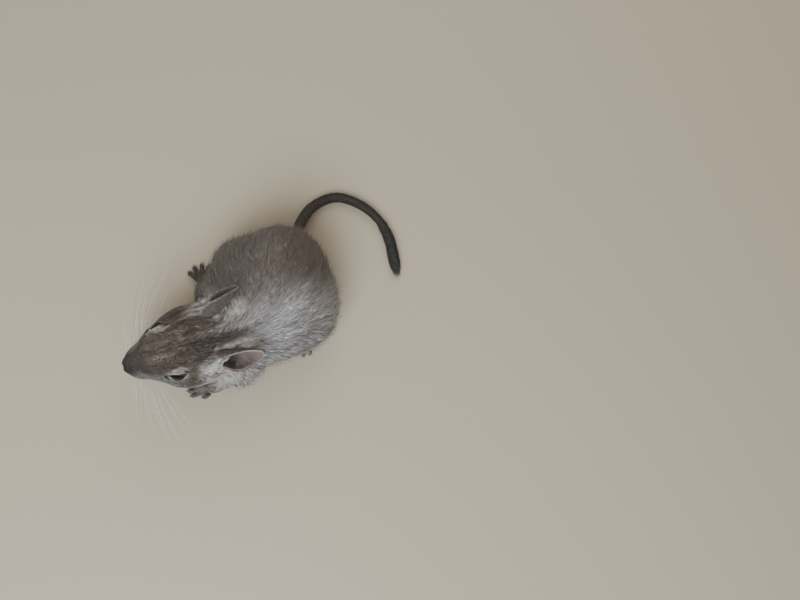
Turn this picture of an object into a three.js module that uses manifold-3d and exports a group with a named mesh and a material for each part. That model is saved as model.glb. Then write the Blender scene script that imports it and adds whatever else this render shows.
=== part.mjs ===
// A young degu, a small South American rodent, crouching on all fours with its body bent to its right.
// Millimetres, +Z up, the floor at z = 0. The head points towards -X, the tail curls round on the +X side.
import * as THREE from "three";
import { mergeVertices } from "three/addons/utils/BufferGeometryUtils.js";
import Module from "manifold-3d";

const wasm = await Module();
wasm.setup();

// Driving sizes
const GAP = 0.3; // between two pieces that touch
const HEAD_YAW = 16.8; // degrees that the head turns from -X
const HEAD_PITCH = 17; // degrees that the muzzle points down
const EYE_MIDDLE = [-44, 14, 26]; // halfway between the two eyes
const EYE_RADIUS = 3.7;
const LID_THICK = 0.9;
const EAR_LENGTH = 17.6;
const EAR_WIDTH = 8.6;
const EAR_THICK = 0.8;
const TAIL_RADIUS = 2.25;
const WHISKER_RADIUS = 0.27;
const CELL = { head: 2.12, trunk: 4.35, leg: 3.4, cutter: 3.6, armCutter: 2.5 }; // mesh sizes

const { degToRad: rad, clamp, lerp } = THREE.MathUtils;
const vec = (x, y, z) => new THREE.Vector3(x, y, z);
const UP = vec(0, 0, 1);

// The head's own frame: x towards the nose, y to the animal's left, z up, zero between the eyes.
const headFrame = new THREE.Matrix4()
  .makeTranslation(...EYE_MIDDLE)
  .multiply(new THREE.Matrix4().makeRotationZ(Math.PI + rad(HEAD_YAW)))
  .multiply(new THREE.Matrix4().makeRotationY(rad(HEAD_PITCH)));
const onHead = (x, y, z) => vec(x, y, z).applyMatrix4(headFrame);

// Distance functions: each takes x, y, z and is negative inside the form.
function egg([cx, cy, cz], [rx, ry, rz], frame = new THREE.Matrix4()) {
  const inverse = frame.clone().invert();
  const p = vec(0, 0, 0);
  return (x, y, z) => {
    p.set(x, y, z).applyMatrix4(inverse);
    const [ax, ay, az] = [(p.x - cx) / rx, (p.y - cy) / ry, (p.z - cz) / rz];
    const k0 = Math.hypot(ax, ay, az);
    const k1 = Math.hypot(ax / rx, ay / ry, az / rz);
    return k1 < 1e-9 ? -Math.min(rx, ry, rz) : (k0 * (k0 - 1)) / k1;
  };
}

function limb(a, b, ra, rb) {
  const d = b.clone().sub(a);
  const length2 = d.lengthSq();
  return (x, y, z) => {
    const dot = (x - a.x) * d.x + (y - a.y) * d.y + (z - a.z) * d.z;
    const t = clamp(dot / length2, 0, 1);
    const away = Math.hypot(x - a.x - t * d.x, y - a.y - t * d.y, z - a.z - t * d.z);
    return away - ra - t * (rb - ra);
  };
}

function blend(k, ...forms) {
  return (x, y, z) =>
    forms.reduce((low, form) => {
      const d = form(x, y, z);
      const h = Math.max(k - Math.abs(low - d), 0) / k;
      return Math.min(low, d) - (h * h * k) / 4;
    }, 1e3);
}

const swollen = (form, by) => (x, y, z) => form(x, y, z) - by;

// The zero surface of a distance function inside a box, as one quad for each grid edge that it crosses.
function surfaceOf(distance, [low, high], cell) {
  const n = low.map((v, i) => Math.ceil((high[i] - v) / cell) + 1);
  const at = (i, j, k) => i + n[0] * (j + n[1] * k);
  const value = new Float64Array(n[0] * n[1] * n[2]);
  for (let k = 0; k < n[2]; k++)
    for (let j = 0; j < n[1]; j++)
      for (let i = 0; i < n[0]; i++) {
        const edge = !i || !j || !k || i === n[0] - 1 || j === n[1] - 1 || k === n[2] - 1;
        const d = distance(low[0] + i * cell, low[1] + j * cell, low[2] + k * cell);
        value[at(i, j, k)] = edge ? Math.max(d, 0.01 * cell) : d || 1e-9;
      }
  const corner = new Int32Array(value.length).fill(-1);
  const points = [];
  const step = [vec(1, 0, 0), vec(0, 1, 0), vec(0, 0, 1)];
  for (let k = 0; k < n[2] - 1; k++)
    for (let j = 0; j < n[1] - 1; j++)
      for (let i = 0; i < n[0] - 1; i++) {
        const sum = vec(0, 0, 0);
        let crossings = 0;
        for (let edge = 0; edge < 12; edge++) {
          const axis = edge % 3;
          const offset = [0, 0, 0];
          offset[(axis + 1) % 3] = (edge / 3) & 1;
          offset[(axis + 2) % 3] = (edge / 6) & 1;
          const a = vec(i + offset[0], j + offset[1], k + offset[2]);
          const b = a.clone().add(step[axis]);
          const va = value[at(a.x, a.y, a.z)];
          const vb = value[at(b.x, b.y, b.z)];
          if (va < 0 === vb < 0) continue;
          sum.add(a.lerp(b, va / (va - vb)));
          crossings++;
        }
        if (!crossings) continue;
        corner[at(i, j, k)] = points.length;
        points.push(sum.multiplyScalar(cell / crossings).add(vec(...low)));
      }
  const index = [];
  for (let k = 0; k < n[2] - 1; k++)
    for (let j = 0; j < n[1] - 1; j++)
      for (let i = 0; i < n[0] - 1; i++)
        for (let axis = 0; axis < 3; axis++) {
          const next = [i, j, k];
          next[axis]++;
          const inside = value[at(i, j, k)] < 0;
          if (inside === value[at(...next)] < 0) continue;
          const ring = [[0, 0], [1, 0], [1, 1], [0, 1]].map(([u, v]) => {
            const c = [i, j, k];
            c[(axis + 1) % 3] -= u;
            c[(axis + 2) % 3] -= v;
            return corner[at(...c)];
          });
          const [a, b, c, d] = inside ? ring : ring.reverse();
          const short = points[a].distanceTo(points[c]) < points[b].distanceTo(points[d]);
          index.push(...(short ? [a, b, c, a, c, d] : [a, b, d, b, c, d]));
        }
  settle(points, distance, cell);
  return new THREE.BufferGeometry().setFromPoints(points).setIndex(index);
}

// Moves each point along the slope onto the zero surface, by no more than a part of a cell.
function settle(points, distance, cell) {
  const e = 0.02;
  for (const p of points)
    for (let turn = 0; turn < 2; turn++) {
      const d = distance(p.x, p.y, p.z);
      const slope = vec(
        distance(p.x + e, p.y, p.z) - distance(p.x - e, p.y, p.z),
        distance(p.x, p.y + e, p.z) - distance(p.x, p.y - e, p.z),
        distance(p.x, p.y, p.z + e) - distance(p.x, p.y, p.z - e),
      ).divideScalar(2 * e);
      const size = Math.max(slope.lengthSq(), 0.05);
      p.addScaledVector(slope, -clamp(d / size, -0.3 * cell, 0.3 * cell));
    }
}

// A closed three.js geometry as a solid that can be joined and cut.
function solid(geometry, matrix = new THREE.Matrix4()) {
  const bare = geometry.clone().applyMatrix4(matrix);
  bare.deleteAttribute("normal");
  bare.deleteAttribute("uv");
  const merged = mergeVertices(bare, 1e-4);
  return new wasm.Manifold(
    new wasm.Mesh({
      numProp: 3,
      vertProperties: new Float32Array(merged.attributes.position.array),
      triVerts: new Uint32Array(merged.index.array),
    }),
  );
}

const formed = (distance, box, cell) => solid(surfaceOf(distance, box, cell));

function ball(centre, radii, turn = new THREE.Quaternion(), detail = [20, 14]) {
  const matrix = new THREE.Matrix4().compose(centre, turn, vec(...radii));
  return solid(new THREE.SphereGeometry(1, ...detail), matrix);
}

// A large block whose one face is the plane through a point, on the side that the normal points to.
function halfSpace(point, normal) {
  const size = 200;
  const turn = new THREE.Quaternion().setFromUnitVectors(UP, normal.clone().normalize());
  const matrix = new THREE.Matrix4().compose(point, turn, vec(1, 1, 1));
  return solid(new THREE.BoxGeometry(size, size, size).translate(0, 0, size / 2), matrix);
}

// A round bar along a curve, whose radius follows the share of the way along it.
function sweep(curve, radiusAt, steps, sides = 8, [from, to] = [0, 1]) {
  const points = [];
  const index = [];
  let side = null;
  for (let i = 0; i <= steps; i++) {
    const u = lerp(from, to, i / steps);
    const middle = curve.getPointAt(u);
    const along = curve.getTangentAt(u);
    side = side ?? (Math.abs(along.z) < 0.95 ? UP.clone().cross(along) : vec(1, 0, 0));
    side.addScaledVector(along, -side.dot(along)).normalize();
    const up = along.clone().cross(side);
    const r = radiusAt(u);
    for (let j = 0; j < sides; j++) {
      const a = (j / sides) * 2 * Math.PI;
      points.push(
        middle.clone().addScaledVector(side, r * Math.cos(a)).addScaledVector(up, r * Math.sin(a)),
      );
    }
    side = side.clone();
  }
  for (let i = 0; i < steps; i++)
    for (let j = 0; j < sides; j++) {
      const k = (j + 1) % sides;
      const [a, b] = [i * sides + j, i * sides + k];
      index.push(a, b, b + sides, a, b + sides, a + sides);
    }
  for (let j = 1; j < sides - 1; j++) {
    index.push(0, j + 1, j);
    index.push(steps * sides, steps * sides + j, steps * sides + j + 1);
  }
  return solid(new THREE.BufferGeometry().setFromPoints(points).setIndex(index));
}

const rounded = (radius, start = 0.6, end = 0.35) => (u) =>
  radius * Math.min(1, start + 12 * u, end + 8 * (1 - u));
const curveOf = (...points) => new THREE.CatmullRomCurve3(points);
const joined = (solids) => solids.reduce((all, one) => all.add(one));

// The largest closed surface of a solid, without what hangs loose or is sealed inside
function largest(made) {
  return made.decompose().sort((a, b) => b.volume() - a.volume())[0];
}

// Trunk: rump, belly, flank, chest, haunches, shoulders, and a neck that runs up to the head
const sides = ["left", "right"];
const haunch = {
  left: { centre: [6.5, 33, 15], radii: [12.2, 16.5, 13.5] },
  right: { centre: [-18.2, 45, 15], radii: [12.6, 14, 13.5] },
};
const shoulder = {
  left: { centre: [-20.5, 10, 15], radii: [9.5, 8.6, 12.5] },
  right: { centre: [-28, 35.5, 15], radii: [8.5, 8.2, 12] },
};
const arm = {
  left: { elbow: vec(-19, 8.5, 9.5), wrist: vec(-29.8, 1.6, 2.9) },
  right: { elbow: vec(-26, 37.5, 11.5), wrist: vec(-34, 41.6, 2.9) },
};
const neckLine = [vec(-20, 23, 22.5), onHead(-14, 0, -1)];
const trunk = blend(
  6,
  egg([-4, 44.5, 20.3], [18, 18, 18.3]),
  egg([-7, 33, 21.3], [20, 19, 19.7]),
  egg([-6, 23, 17.5], [13.5, 12, 14.8]),
  egg([-19, 23, 19.5], [15.5, 16.5, 16.5]),
  ...sides.map((side) => egg(haunch[side].centre, haunch[side].radii)),
  ...sides.map((side) => egg(shoulder[side].centre, shoulder[side].radii)),
  limb(...neckLine, 13.5, 10.8),
);

// Head: skull, brow, muzzle, bridge, nose, eye mounds, whisker pads, cheeks and jaw
const eyeSpot = { left: [-0.2, 7.4, 1.3], right: [-0.2, -7.4, 1.3] };
const skull = blend(
  3,
  egg([-11, 0, 0.3], [14.5, 11.4, 9.8], headFrame),
  egg([0.5, 0, -0.6], [10.5, 9.6, 8.9], headFrame),
  limb(onHead(2, 0, -2.6), onHead(12.2, 0, -4), 8, 4.7),
  egg([7.5, 0, -1.2], [8.5, 4.4, 4.3], headFrame),
  limb(onHead(3.5, 4.6, -2.4), onHead(10, 2.6, -4.3), 4.9, 3.9),
  limb(onHead(3.5, -4.6, -2.4), onHead(10, -2.6, -4.3), 4.9, 3.9),
  egg([14.9, 0, -4], [3.6, 3.4, 3], headFrame),
  ...sides.map((side) => egg(eyeSpot[side], [4.8, 3.9, 4.3], headFrame)),
  egg([11, 3, -5.8], [5.4, 3.2, 3.7], headFrame),
  egg([11, -3, -5.8], [5.4, 3.2, 3.7], headFrame),
  egg([-6.5, 8, -5.8], [12, 7.4, 7], headFrame),
  egg([-6.5, -8, -5.8], [12, 7.4, 7], headFrame),
  limb(onHead(-5, 0, -8.3), onHead(11.2, 0, -9), 5.3, 2),
);
const arms = sides.map((side) => limb(arm[side].elbow, arm[side].wrist, 4.7, 2.5));
const animal = blend(3.5, trunk, ...arms, skull);

// What belongs to the head and to each leg, as bodies that part them from the trunk
const HEAD_MARGIN = 1.35;
const legRegion = {
  head: swollen(skull, HEAD_MARGIN),
  foreleg_left: blend(
    2,
    egg([-22, 7.5, 12], [8.5, 8, 11]),
    limb(arm.left.elbow, arm.left.wrist, 6.6, 4),
  ),
  foreleg_right: blend(
    2,
    egg([-30.5, 38.5, 14], [8, 8, 10]),
    limb(arm.right.elbow, arm.right.wrist, 6.6, 4),
  ),
  hindleg_left: egg([12, 31, 10], [12, 16.5, 15.5]),
  hindleg_right: egg([-25.4, 49.8, 10], [11.5, 13, 15]),
};
const box = {
  all: [[-68, -10, -3], [26, 70, 48]],
  trunk: [[-44, -6, -3], [24, 68, 46]],
  head: [[-68, -6, 4], [-10, 46, 46]],
};
const region = {};
for (const [name, form] of Object.entries(legRegion)) {
  const cell = name.startsWith("foreleg") ? CELL.armCutter : CELL.cutter;
  const outer = formed(swollen(form, GAP), box.all, cell);
  region[name] = { inner: formed(form, box.all, cell), outer };
}

// The plane between neck and torso, which leans from the nape down to the front of the chest
const collar = vec(-24, 21, 22);
const collarNormal = vec(-0.72, -0.42, 0.53).normalize();
const beforeCollar = halfSpace(collar.clone().addScaledVector(collarNormal, GAP), collarNormal);
const behindCollar = halfSpace(collar, collarNormal.clone().negate());
const underFloor = halfSpace(vec(0, 0, 0), vec(0, 0, -1));

// Feet: a palm with four long toes and a short inner one, each with a curved claw down to the floor
const forepaw = { palm: 4.2, radius: 2, toe: 4.6 };
const hindfoot = { spread: 34, radius: 2.3, toe: 5.4 };
const foot = {
  forepaw_left: { ...forepaw, wrist: arm.left.wrist, heading: 184, spread: 24, inner: -1 },
  forepaw_right: { ...forepaw, wrist: arm.right.wrist, heading: 112, spread: 56, inner: 1 },
  hindfoot_left: { ...hindfoot, wrist: vec(8.2, 34, 2.5), heading: 258, palm: 15, inner: -1 },
  hindfoot_right: { ...hindfoot, wrist: vec(-18, 46, 2.5), heading: 259, palm: 14, inner: 1 },
};

function footShape({ wrist, heading, spread, palm, radius, toe, inner }, grow = 0) {
  const forward = vec(Math.cos(rad(heading)), Math.sin(rad(heading)), 0);
  const across = vec(-forward.y, forward.x, 0);
  const palmEnd = wrist.clone().addScaledVector(forward, palm).setZ(1.5);
  const turn = new THREE.Quaternion().setFromAxisAngle(UP, rad(heading));
  const heel = wrist.clone().addScaledVector(forward, -0.8);
  const sole = sweep(curveOf(heel, palmEnd), (u) => grow + rounded(radius, 0.7, 0.7)(u), 3, 8);
  const pads = ball(palmEnd, [radius + grow, radius * 1.25 + grow, radius * 0.75 + grow], turn, [8, 6]);
  if (grow) {
    const toeSpace = palmEnd.clone().addScaledVector(forward, toe * 0.7);
    return joined([sole, pads, ball(toeSpace, [toe * 0.95, radius * 1.8, 2.2], turn, [10, 8])]);
  }
  const parts = [sole, pads];
  for (let i = 0; i < 5; i++) {
    const short = i === 4;
    const share = short ? -0.75 * inner : i / 3 - 0.5;
    const splay = rad(heading + share * spread * (short ? 1.2 : 1));
    const out = vec(Math.cos(splay), Math.sin(splay), 0);
    const root = palmEnd.clone().addScaledVector(across, share * radius * 2);
    root.addScaledVector(forward, short ? -radius * 1.2 : -0.4);
    const reach = toe * (short ? 0.42 : 1.06 - 0.9 * share * share);
    const thick = short ? 0.7 : 0.82;
    const knuckle = root.clone().addScaledVector(out, reach * 0.5).setZ(1.75);
    const tip = root.clone().addScaledVector(out, reach).setZ(1.05);
    parts.push(sweep(curveOf(root, knuckle, tip), rounded(thick, 0.9, 0.4), 3, 5));
    const nail = tip.clone().addScaledVector(out, -0.4);
    const bend = tip.clone().addScaledVector(out, 0.75).setZ(1.2);
    const point = tip.clone().addScaledVector(out, 1.65).setZ(0.35);
    parts.push(sweep(curveOf(nail, bend, point), (u) => lerp(0.46, 0.14, u), 2, 4));
  }
  return joined(parts);
}

const feet = {};
for (const [name, sizes] of Object.entries(foot))
  feet[name] = { whole: footShape(sizes), shell: footShape(sizes, GAP) };

const looks = {
  coat: new THREE.MeshStandardMaterial({ color: 0x756d68, roughness: 0.9 }),
  paw: new THREE.MeshStandardMaterial({ color: 0x4f4743, roughness: 0.85 }),
  ear: new THREE.MeshStandardMaterial({ color: 0x5a4f4a, roughness: 0.6 }),
  eye: new THREE.MeshStandardMaterial({ color: 0x120d0b, roughness: 0.08 }),
  tail: new THREE.MeshStandardMaterial({ color: 0x2c2523, roughness: 0.85 }),
};
const group = new THREE.Group();

function add(name, made, look) {
  const mesh = largest(made.subtract(underFloor)).getMesh();
  const geometry = new THREE.BufferGeometry();
  geometry.setAttribute("position", new THREE.BufferAttribute(mesh.vertProperties, 3));
  geometry.setIndex(new THREE.BufferAttribute(mesh.triVerts, 1));
  geometry.computeVertexNormals();
  const node = new THREE.Mesh(geometry, looks[look]);
  node.name = name;
  group.add(node);
}

// Trunk and legs
let torso = formed(animal, box.trunk, CELL.trunk).intersect(behindCollar);
let neck = formed(animal, [[-50, -2, 4], [-12, 46, 46]], CELL.trunk).intersect(beforeCollar);
for (const name of Object.keys(legRegion)) {
  torso = torso.subtract(region[name].outer);
  neck = neck.subtract(region[name].outer);
}
for (const side of sides) {
  const hind = formed(animal, box.trunk, CELL.leg)
    .intersect(region[`hindleg_${side}`].inner)
    .subtract(region[`foreleg_${side}`].outer)
    .subtract(feet[`hindfoot_${side}`].shell);
  add(`hindleg_${side}`, hind, "coat");
  const fore = formed(animal, box.trunk, CELL.leg)
    .intersect(region[`foreleg_${side}`].inner)
    .subtract(region.head.outer)
    .subtract(feet[`hindfoot_${side}`].shell)
    .subtract(feet[`forepaw_${side}`].shell);
  add(`foreleg_${side}`, fore, "coat");
  torso = torso.subtract(feet[`hindfoot_${side}`].shell).subtract(feet[`forepaw_${side}`].shell);
}
for (const name of Object.keys(feet)) add(name, feet[name].whole, "paw");
add("torso", torso, "coat");
add("neck", neck, "coat");

// Head with sockets, lids, nostrils and mouth
let head = formed(animal, box.head, CELL.head).intersect(region.head.inner);
for (const side of sides) {
  const centre = onHead(...eyeSpot[side]);
  const ahead = onHead(0.24, side === "left" ? 1 : -1, 0.3).sub(onHead(0, 0, 0)).normalize();
  const back = onHead(-1, 0, 0.12).sub(onHead(0, 0, 0));
  back.addScaledVector(ahead, -back.dot(ahead)).normalize();
  const rise = back.clone().cross(ahead);
  const turn = new THREE.Quaternion().setFromRotationMatrix(
    new THREE.Matrix4().makeBasis(back, rise.clone().negate(), ahead.clone()),
  );
  const lid = EYE_RADIUS + LID_THICK;
  const opening = ball(centre.clone().addScaledVector(ahead, 4), [3.45, 2.6, 3.2], turn, [18, 10]);
  head = head
    .add(ball(centre, Array(3).fill(lid), turn, [16, 10]))
    .subtract(opening)
    .subtract(ball(centre, Array(3).fill(EYE_RADIUS + GAP), turn, [16, 10]));
  add(`eye_${side}`, ball(centre, Array(3).fill(EYE_RADIUS), turn, [16, 10]), "eye");
}

// A point of the head's own frame, moved straight onto its skin
function onSkin(x, y, z) {
  const p = onHead(x, y, z);
  settle([p], animal, 6);
  settle([p], animal, 6);
  return p;
}
// The mouth runs from corner to corner under the nose. Each lip is a soft rim beside it.
const mouthPoints = [
  [6.5, 6, -6.6],
  [8.5, 6.2, -7.4],
  [11, 6, -7.9],
  [13.8, 4.8, -7.9],
  [16, 2.6, -7.4],
  [17.4, 0, -7],
];
const mouthCurve = (rise, sink) => {
  const half = mouthPoints.map(([x, y, z]) => [x, y, z + rise]);
  const mirror = half.slice(0, -1).reverse().map(([x, y, z]) => [x, -y, z]);
  const middle = onHead(11, 0, -6);
  return curveOf(
    ...[...half, ...mirror].map((p) => {
      const skin = onSkin(...p);
      return skin.add(middle.clone().sub(skin).setLength(sink));
    }),
  );
};
const lipRim = (u) => 0.75 * Math.min(1, 0.25 + 5 * Math.min(u, 1 - u));
head = head
  .add(sweep(mouthCurve(0.9, 0.3), lipRim, 14, 5))
  .add(sweep(mouthCurve(-0.9, 0.4), lipRim, 14, 5))
  .subtract(sweep(mouthCurve(0, -0.05), (u) => 0.42 * Math.min(1, 0.4 + 6 * Math.min(u, 1 - u)), 14, 5))
  .subtract(sweep(curveOf(onSkin(18.6, 0, -4.6), onSkin(18, 0, -6), onSkin(17.4, 0, -7)), () => 0.3, 3, 4));
for (const side of [1, -1]) {
  const slot = [
    [18.9, 1.1, -2.7],
    [18.3, 1.9, -2.9],
    [17.5, 2.6, -3.7],
  ].map(([x, y, z]) => onSkin(x, y * side, z));
  head = head.subtract(sweep(curveOf(...slot), (u) => lerp(0.62, 0.34, u), 3, 5));
}

// Whiskers: two rows of three a side, longest at the back, that bend a little down and back. The left ones
// stand out sideways, and the right ones are laid further back.
const whiskers = {
  rows: [-4.1, -6.4], // height of each row's roots
  columns: [
    { x: 13.6, y: 4, long: 17 },
    { x: 11.6, y: 5, long: 23 },
    { x: 9.2, y: 5.7, long: 28 },
  ],
  forward: { left: [0.4, -0.06], right: [-0.05, -0.45] }, // at the front column and at the back one
  bend: vec(-0.1, -0.05, -0.16),
};
for (const side of sides) {
  const s = side === "left" ? 1 : -1;
  for (const rowZ of whiskers.rows)
    whiskers.columns.forEach((column, i) => {
      const root = onSkin(column.x, s * column.y, rowZ);
      const forward = lerp(...whiskers.forward[side], i / 2);
      const out = vec(forward, s, 0.1 + 0.13 * (rowZ + 5)).normalize();
      const bend = whiskers.bend.clone().setY(whiskers.bend.y * s);
      const line = [-0.04, 0.35, 0.7, 1].map((t) => {
        const away = out.clone().multiplyScalar(t).addScaledVector(bend, t * t);
        return root.clone().add(onHead(...away.multiplyScalar(column.long)).sub(onHead(0, 0, 0)));
      });
      head = head.add(sweep(curveOf(...line), (u) => WHISKER_RADIUS * (1 - 0.6 * u), 3, 4));
    });
}
add("head", head, "coat");

// Ears: an oval leaf rolled into a deep cup that opens sideways and up, rolled most of all at the root
const ear = {
  left: { root: [-20.6, 6.3, 1.1], along: [-0.93, 0.25, 0.31], open: [-0.05, 0.74, 0.64] },
  right: { root: [-19.6, -5.3, 0.8], along: [-0.86, -0.42, 0.33], open: [0.05, -0.86, 0.48] },
};

function earShell(side) {
  const s = side === "left" ? 1 : -1;
  const along = vec(...ear[side].along).normalize();
  const open = vec(...ear[side].open);
  open.addScaledVector(along, -open.dot(along)).normalize();
  const across = along.clone().cross(open).multiplyScalar(s);
  const rows = 11;
  const columns = 10;
  const sheet = (rows + 1) * (columns + 1);
  const points = [];
  for (const lift of [EAR_THICK / 2, -EAR_THICK / 2])
    for (let i = 0; i <= rows; i++)
      for (let j = 0; j <= columns; j++) {
        const u = i / rows;
        const leaf = 0.72 + 0.28 * Math.sin(Math.PI * clamp(u * 0.9 - 0.02, 0, 1));
        const width = EAR_WIDTH * leaf * Math.sqrt(Math.max(1 - u ** 5, 0.04));
        const curl = lerp(rad(112), rad(66), THREE.MathUtils.smoothstep(u, 0.15, 1));
        const round = width / 2 / Math.sin(Math.min(curl, rad(90)));
        const turn = ((2 * j) / columns - 1) * curl;
        const p = vec(...ear[side].root)
          .addScaledVector(along, EAR_LENGTH * u)
          .addScaledVector(across, (round + lift) * Math.sin(turn))
          .addScaledVector(open, round - (round + lift) * Math.cos(turn));
        points.push(p.applyMatrix4(headFrame));
      }
  const at = (layer, i, j) => layer * sheet + i * (columns + 1) + j;
  const index = [];
  const quad = (a, b, c, d) => index.push(a, b, c, a, c, d);
  for (let i = 0; i < rows; i++)
    for (let j = 0; j < columns; j++) {
      quad(at(0, i, j), at(0, i, j + 1), at(0, i + 1, j + 1), at(0, i + 1, j));
      quad(at(1, i, j), at(1, i + 1, j), at(1, i + 1, j + 1), at(1, i, j + 1));
    }
  for (let i = 0; i < rows; i++) {
    quad(at(0, i, 0), at(0, i + 1, 0), at(1, i + 1, 0), at(1, i, 0));
    quad(at(0, i + 1, columns), at(0, i, columns), at(1, i, columns), at(1, i + 1, columns));
  }
  for (let j = 0; j < columns; j++) {
    quad(at(0, 0, j + 1), at(0, 0, j), at(1, 0, j), at(1, 0, j + 1));
    quad(at(0, rows, j), at(0, rows, j + 1), at(1, rows, j + 1), at(1, rows, j));
  }
  if (s > 0) index.reverse();
  return solid(new THREE.BufferGeometry().setFromPoints(points).setIndex(index));
}

const whole = formed(swollen(animal, GAP), box.all, CELL.leg);
for (const side of sides) add(`ear_${side}`, earShell(side).subtract(whole), "ear");

// Tail, in three lengths
const tailLine = curveOf(
  vec(0.5, 58, 13.5),
  vec(2.6, 65, 9.8),
  vec(8.2, 75.6, 3.4),
  vec(17.8, 80.6, 2.1),
  vec(27.6, 78.3, 2.1),
  vec(36, 72, 2.1),
  vec(41, 63, 2.1),
  vec(43, 54, 2.1),
);
const tailRadius = (u) => TAIL_RADIUS * (1.15 - 0.3 * u);
const tailCut = GAP / 2 / tailLine.getLength();
const tailJoint = [0.36, 0.7];
add(
  "tail_base",
  sweep(tailLine, tailRadius, 10, 12, [0, tailJoint[0] - tailCut]).subtract(whole),
  "tail",
);
add(
  "tail_middle",
  sweep(tailLine, tailRadius, 8, 12, [tailJoint[0] + tailCut, tailJoint[1] - tailCut]),
  "tail",
);

// The brush at the tail's end: flat, tapered locks rooted in the core, longest at the tip
const BRUSH = { from: 0.78, to: 0.985, rings: 5, around: 5, long: [5, 8], wide: 1.88, thick: 0.6 };
let seed = 7;
function random() {
  seed = (seed * 16807) % 2147483647;
  return seed / 2147483647;
}

// A flat bar that narrows to a point, with its wide side across the given direction
function lock(curve, outward, wide, thick) {
  const steps = 3;
  const points = [];
  const index = [];
  for (let i = 0; i <= steps; i++) {
    const u = i / steps;
    const along = curve.getTangentAt(u);
    const flat = outward.clone().cross(along).normalize();
    const up = along.clone().cross(flat);
    const taper = Math.min(1, 0.75 + u) * (1 - 0.9 * u ** 1.6);
    const middle = curve.getPointAt(u);
    for (const [a, b] of [[1, 0], [0, 1], [-1, 0], [0, -1]])
      points.push(
        middle.clone()
          .addScaledVector(flat, (a * wide * taper) / 2)
          .addScaledVector(up, (b * thick * taper) / 2),
      );
  }
  for (let i = 0; i < steps; i++)
    for (let j = 0; j < 4; j++) {
      const [a, b] = [i * 4 + j, i * 4 + ((j + 1) % 4)];
      index.push(a, b, b + 4, a, b + 4, a + 4);
    }
  index.push(0, 2, 1, 0, 3, 2);
  const end = steps * 4;
  index.push(end, end + 1, end + 2, end, end + 2, end + 3);
  return solid(new THREE.BufferGeometry().setFromPoints(points).setIndex(index));
}

// A point at a distance past a share of the tail, also beyond the tail's own end
function alongTail(u, distance) {
  const length = tailLine.getLength();
  const reached = u + distance / length;
  const point = tailLine.getPointAt(Math.min(reached, 1));
  return point.addScaledVector(tailLine.getTangentAt(1), Math.max(reached - 1, 0) * length);
}

const locks = [];
for (let ring = 0; ring < BRUSH.rings; ring++)
  for (let i = 0; i < BRUSH.around; i++) {
    const share = ring / (BRUSH.rings - 1);
    const u = lerp(BRUSH.from, BRUSH.to, share) + 0.008 * (random() - 0.5);
    const side = UP.clone().cross(tailLine.getTangentAt(u)).normalize();
    const turn = rad(-15 + (210 * (i + 0.5 * (ring % 2))) / (BRUSH.around - 0.5) + 10 * (random() - 0.5));
    const outward = side.multiplyScalar(Math.cos(turn)).addScaledVector(UP, Math.sin(turn)).normalize();
    const reach = lerp(...BRUSH.long, share) * lerp(0.85, 1.1, random());
    const lean = lerp(0.2, 0.14, share);
    const r = tailRadius(u);
    const at = (forward, out) => alongTail(u, forward).addScaledVector(outward, out);
    const tip = at(reach, r * 0.6 + reach * lean);
    tip.z = Math.max(tip.z, 0.5);
    const path = curveOf(at(-0.6, r * 0.25), at(reach * 0.45, r * 0.75 + reach * lean * 0.55), tip);
    locks.push(lock(path, outward, BRUSH.wide * lerp(0.9, 1.2, random()), BRUSH.thick));
  }
const tailCore = (u) => tailRadius(u) * Math.min(1, 0.35 + 14 * (1 - u));
add(
  "tail_tip",
  joined([sweep(tailLine, tailCore, 12, 10, [tailJoint[1] + tailCut, 1]), ...locks]),
  "tail",
);

// The origin goes to the middle of the footprint, on the floor.
const footprint = new THREE.Box3().setFromObject(group).getCenter(vec(0, 0, 0));
group.position.set(-footprint.x, -footprint.y, 0);
group.updateMatrixWorld(true);

export default group;
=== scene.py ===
"""A young degu, life-size, crouching with its body bent to its right, as a museum model.

Shapes are worked out in millimetres in the model's own frame, where the head points along -X and the floor is
at z = 0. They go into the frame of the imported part, in metres, at the end.
"""
import math

import bmesh
import bpy
import numpy as np
from mathutils import Matrix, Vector
from mathutils.kdtree import KDTree


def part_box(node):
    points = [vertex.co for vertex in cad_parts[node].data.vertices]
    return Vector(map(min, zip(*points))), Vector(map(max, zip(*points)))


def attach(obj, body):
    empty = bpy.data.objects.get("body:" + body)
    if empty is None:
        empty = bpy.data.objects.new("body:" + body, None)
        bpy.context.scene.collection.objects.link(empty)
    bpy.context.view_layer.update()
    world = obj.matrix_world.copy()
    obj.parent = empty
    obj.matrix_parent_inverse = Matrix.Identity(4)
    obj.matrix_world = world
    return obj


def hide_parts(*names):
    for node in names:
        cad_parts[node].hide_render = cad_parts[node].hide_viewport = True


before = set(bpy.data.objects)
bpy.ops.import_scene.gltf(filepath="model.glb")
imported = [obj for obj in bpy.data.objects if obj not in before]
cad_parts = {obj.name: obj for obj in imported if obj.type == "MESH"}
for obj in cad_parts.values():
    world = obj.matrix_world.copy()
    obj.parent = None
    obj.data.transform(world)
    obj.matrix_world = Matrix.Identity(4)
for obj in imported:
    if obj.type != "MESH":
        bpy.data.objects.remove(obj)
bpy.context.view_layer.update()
rng = np.random.default_rng(11)

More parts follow.
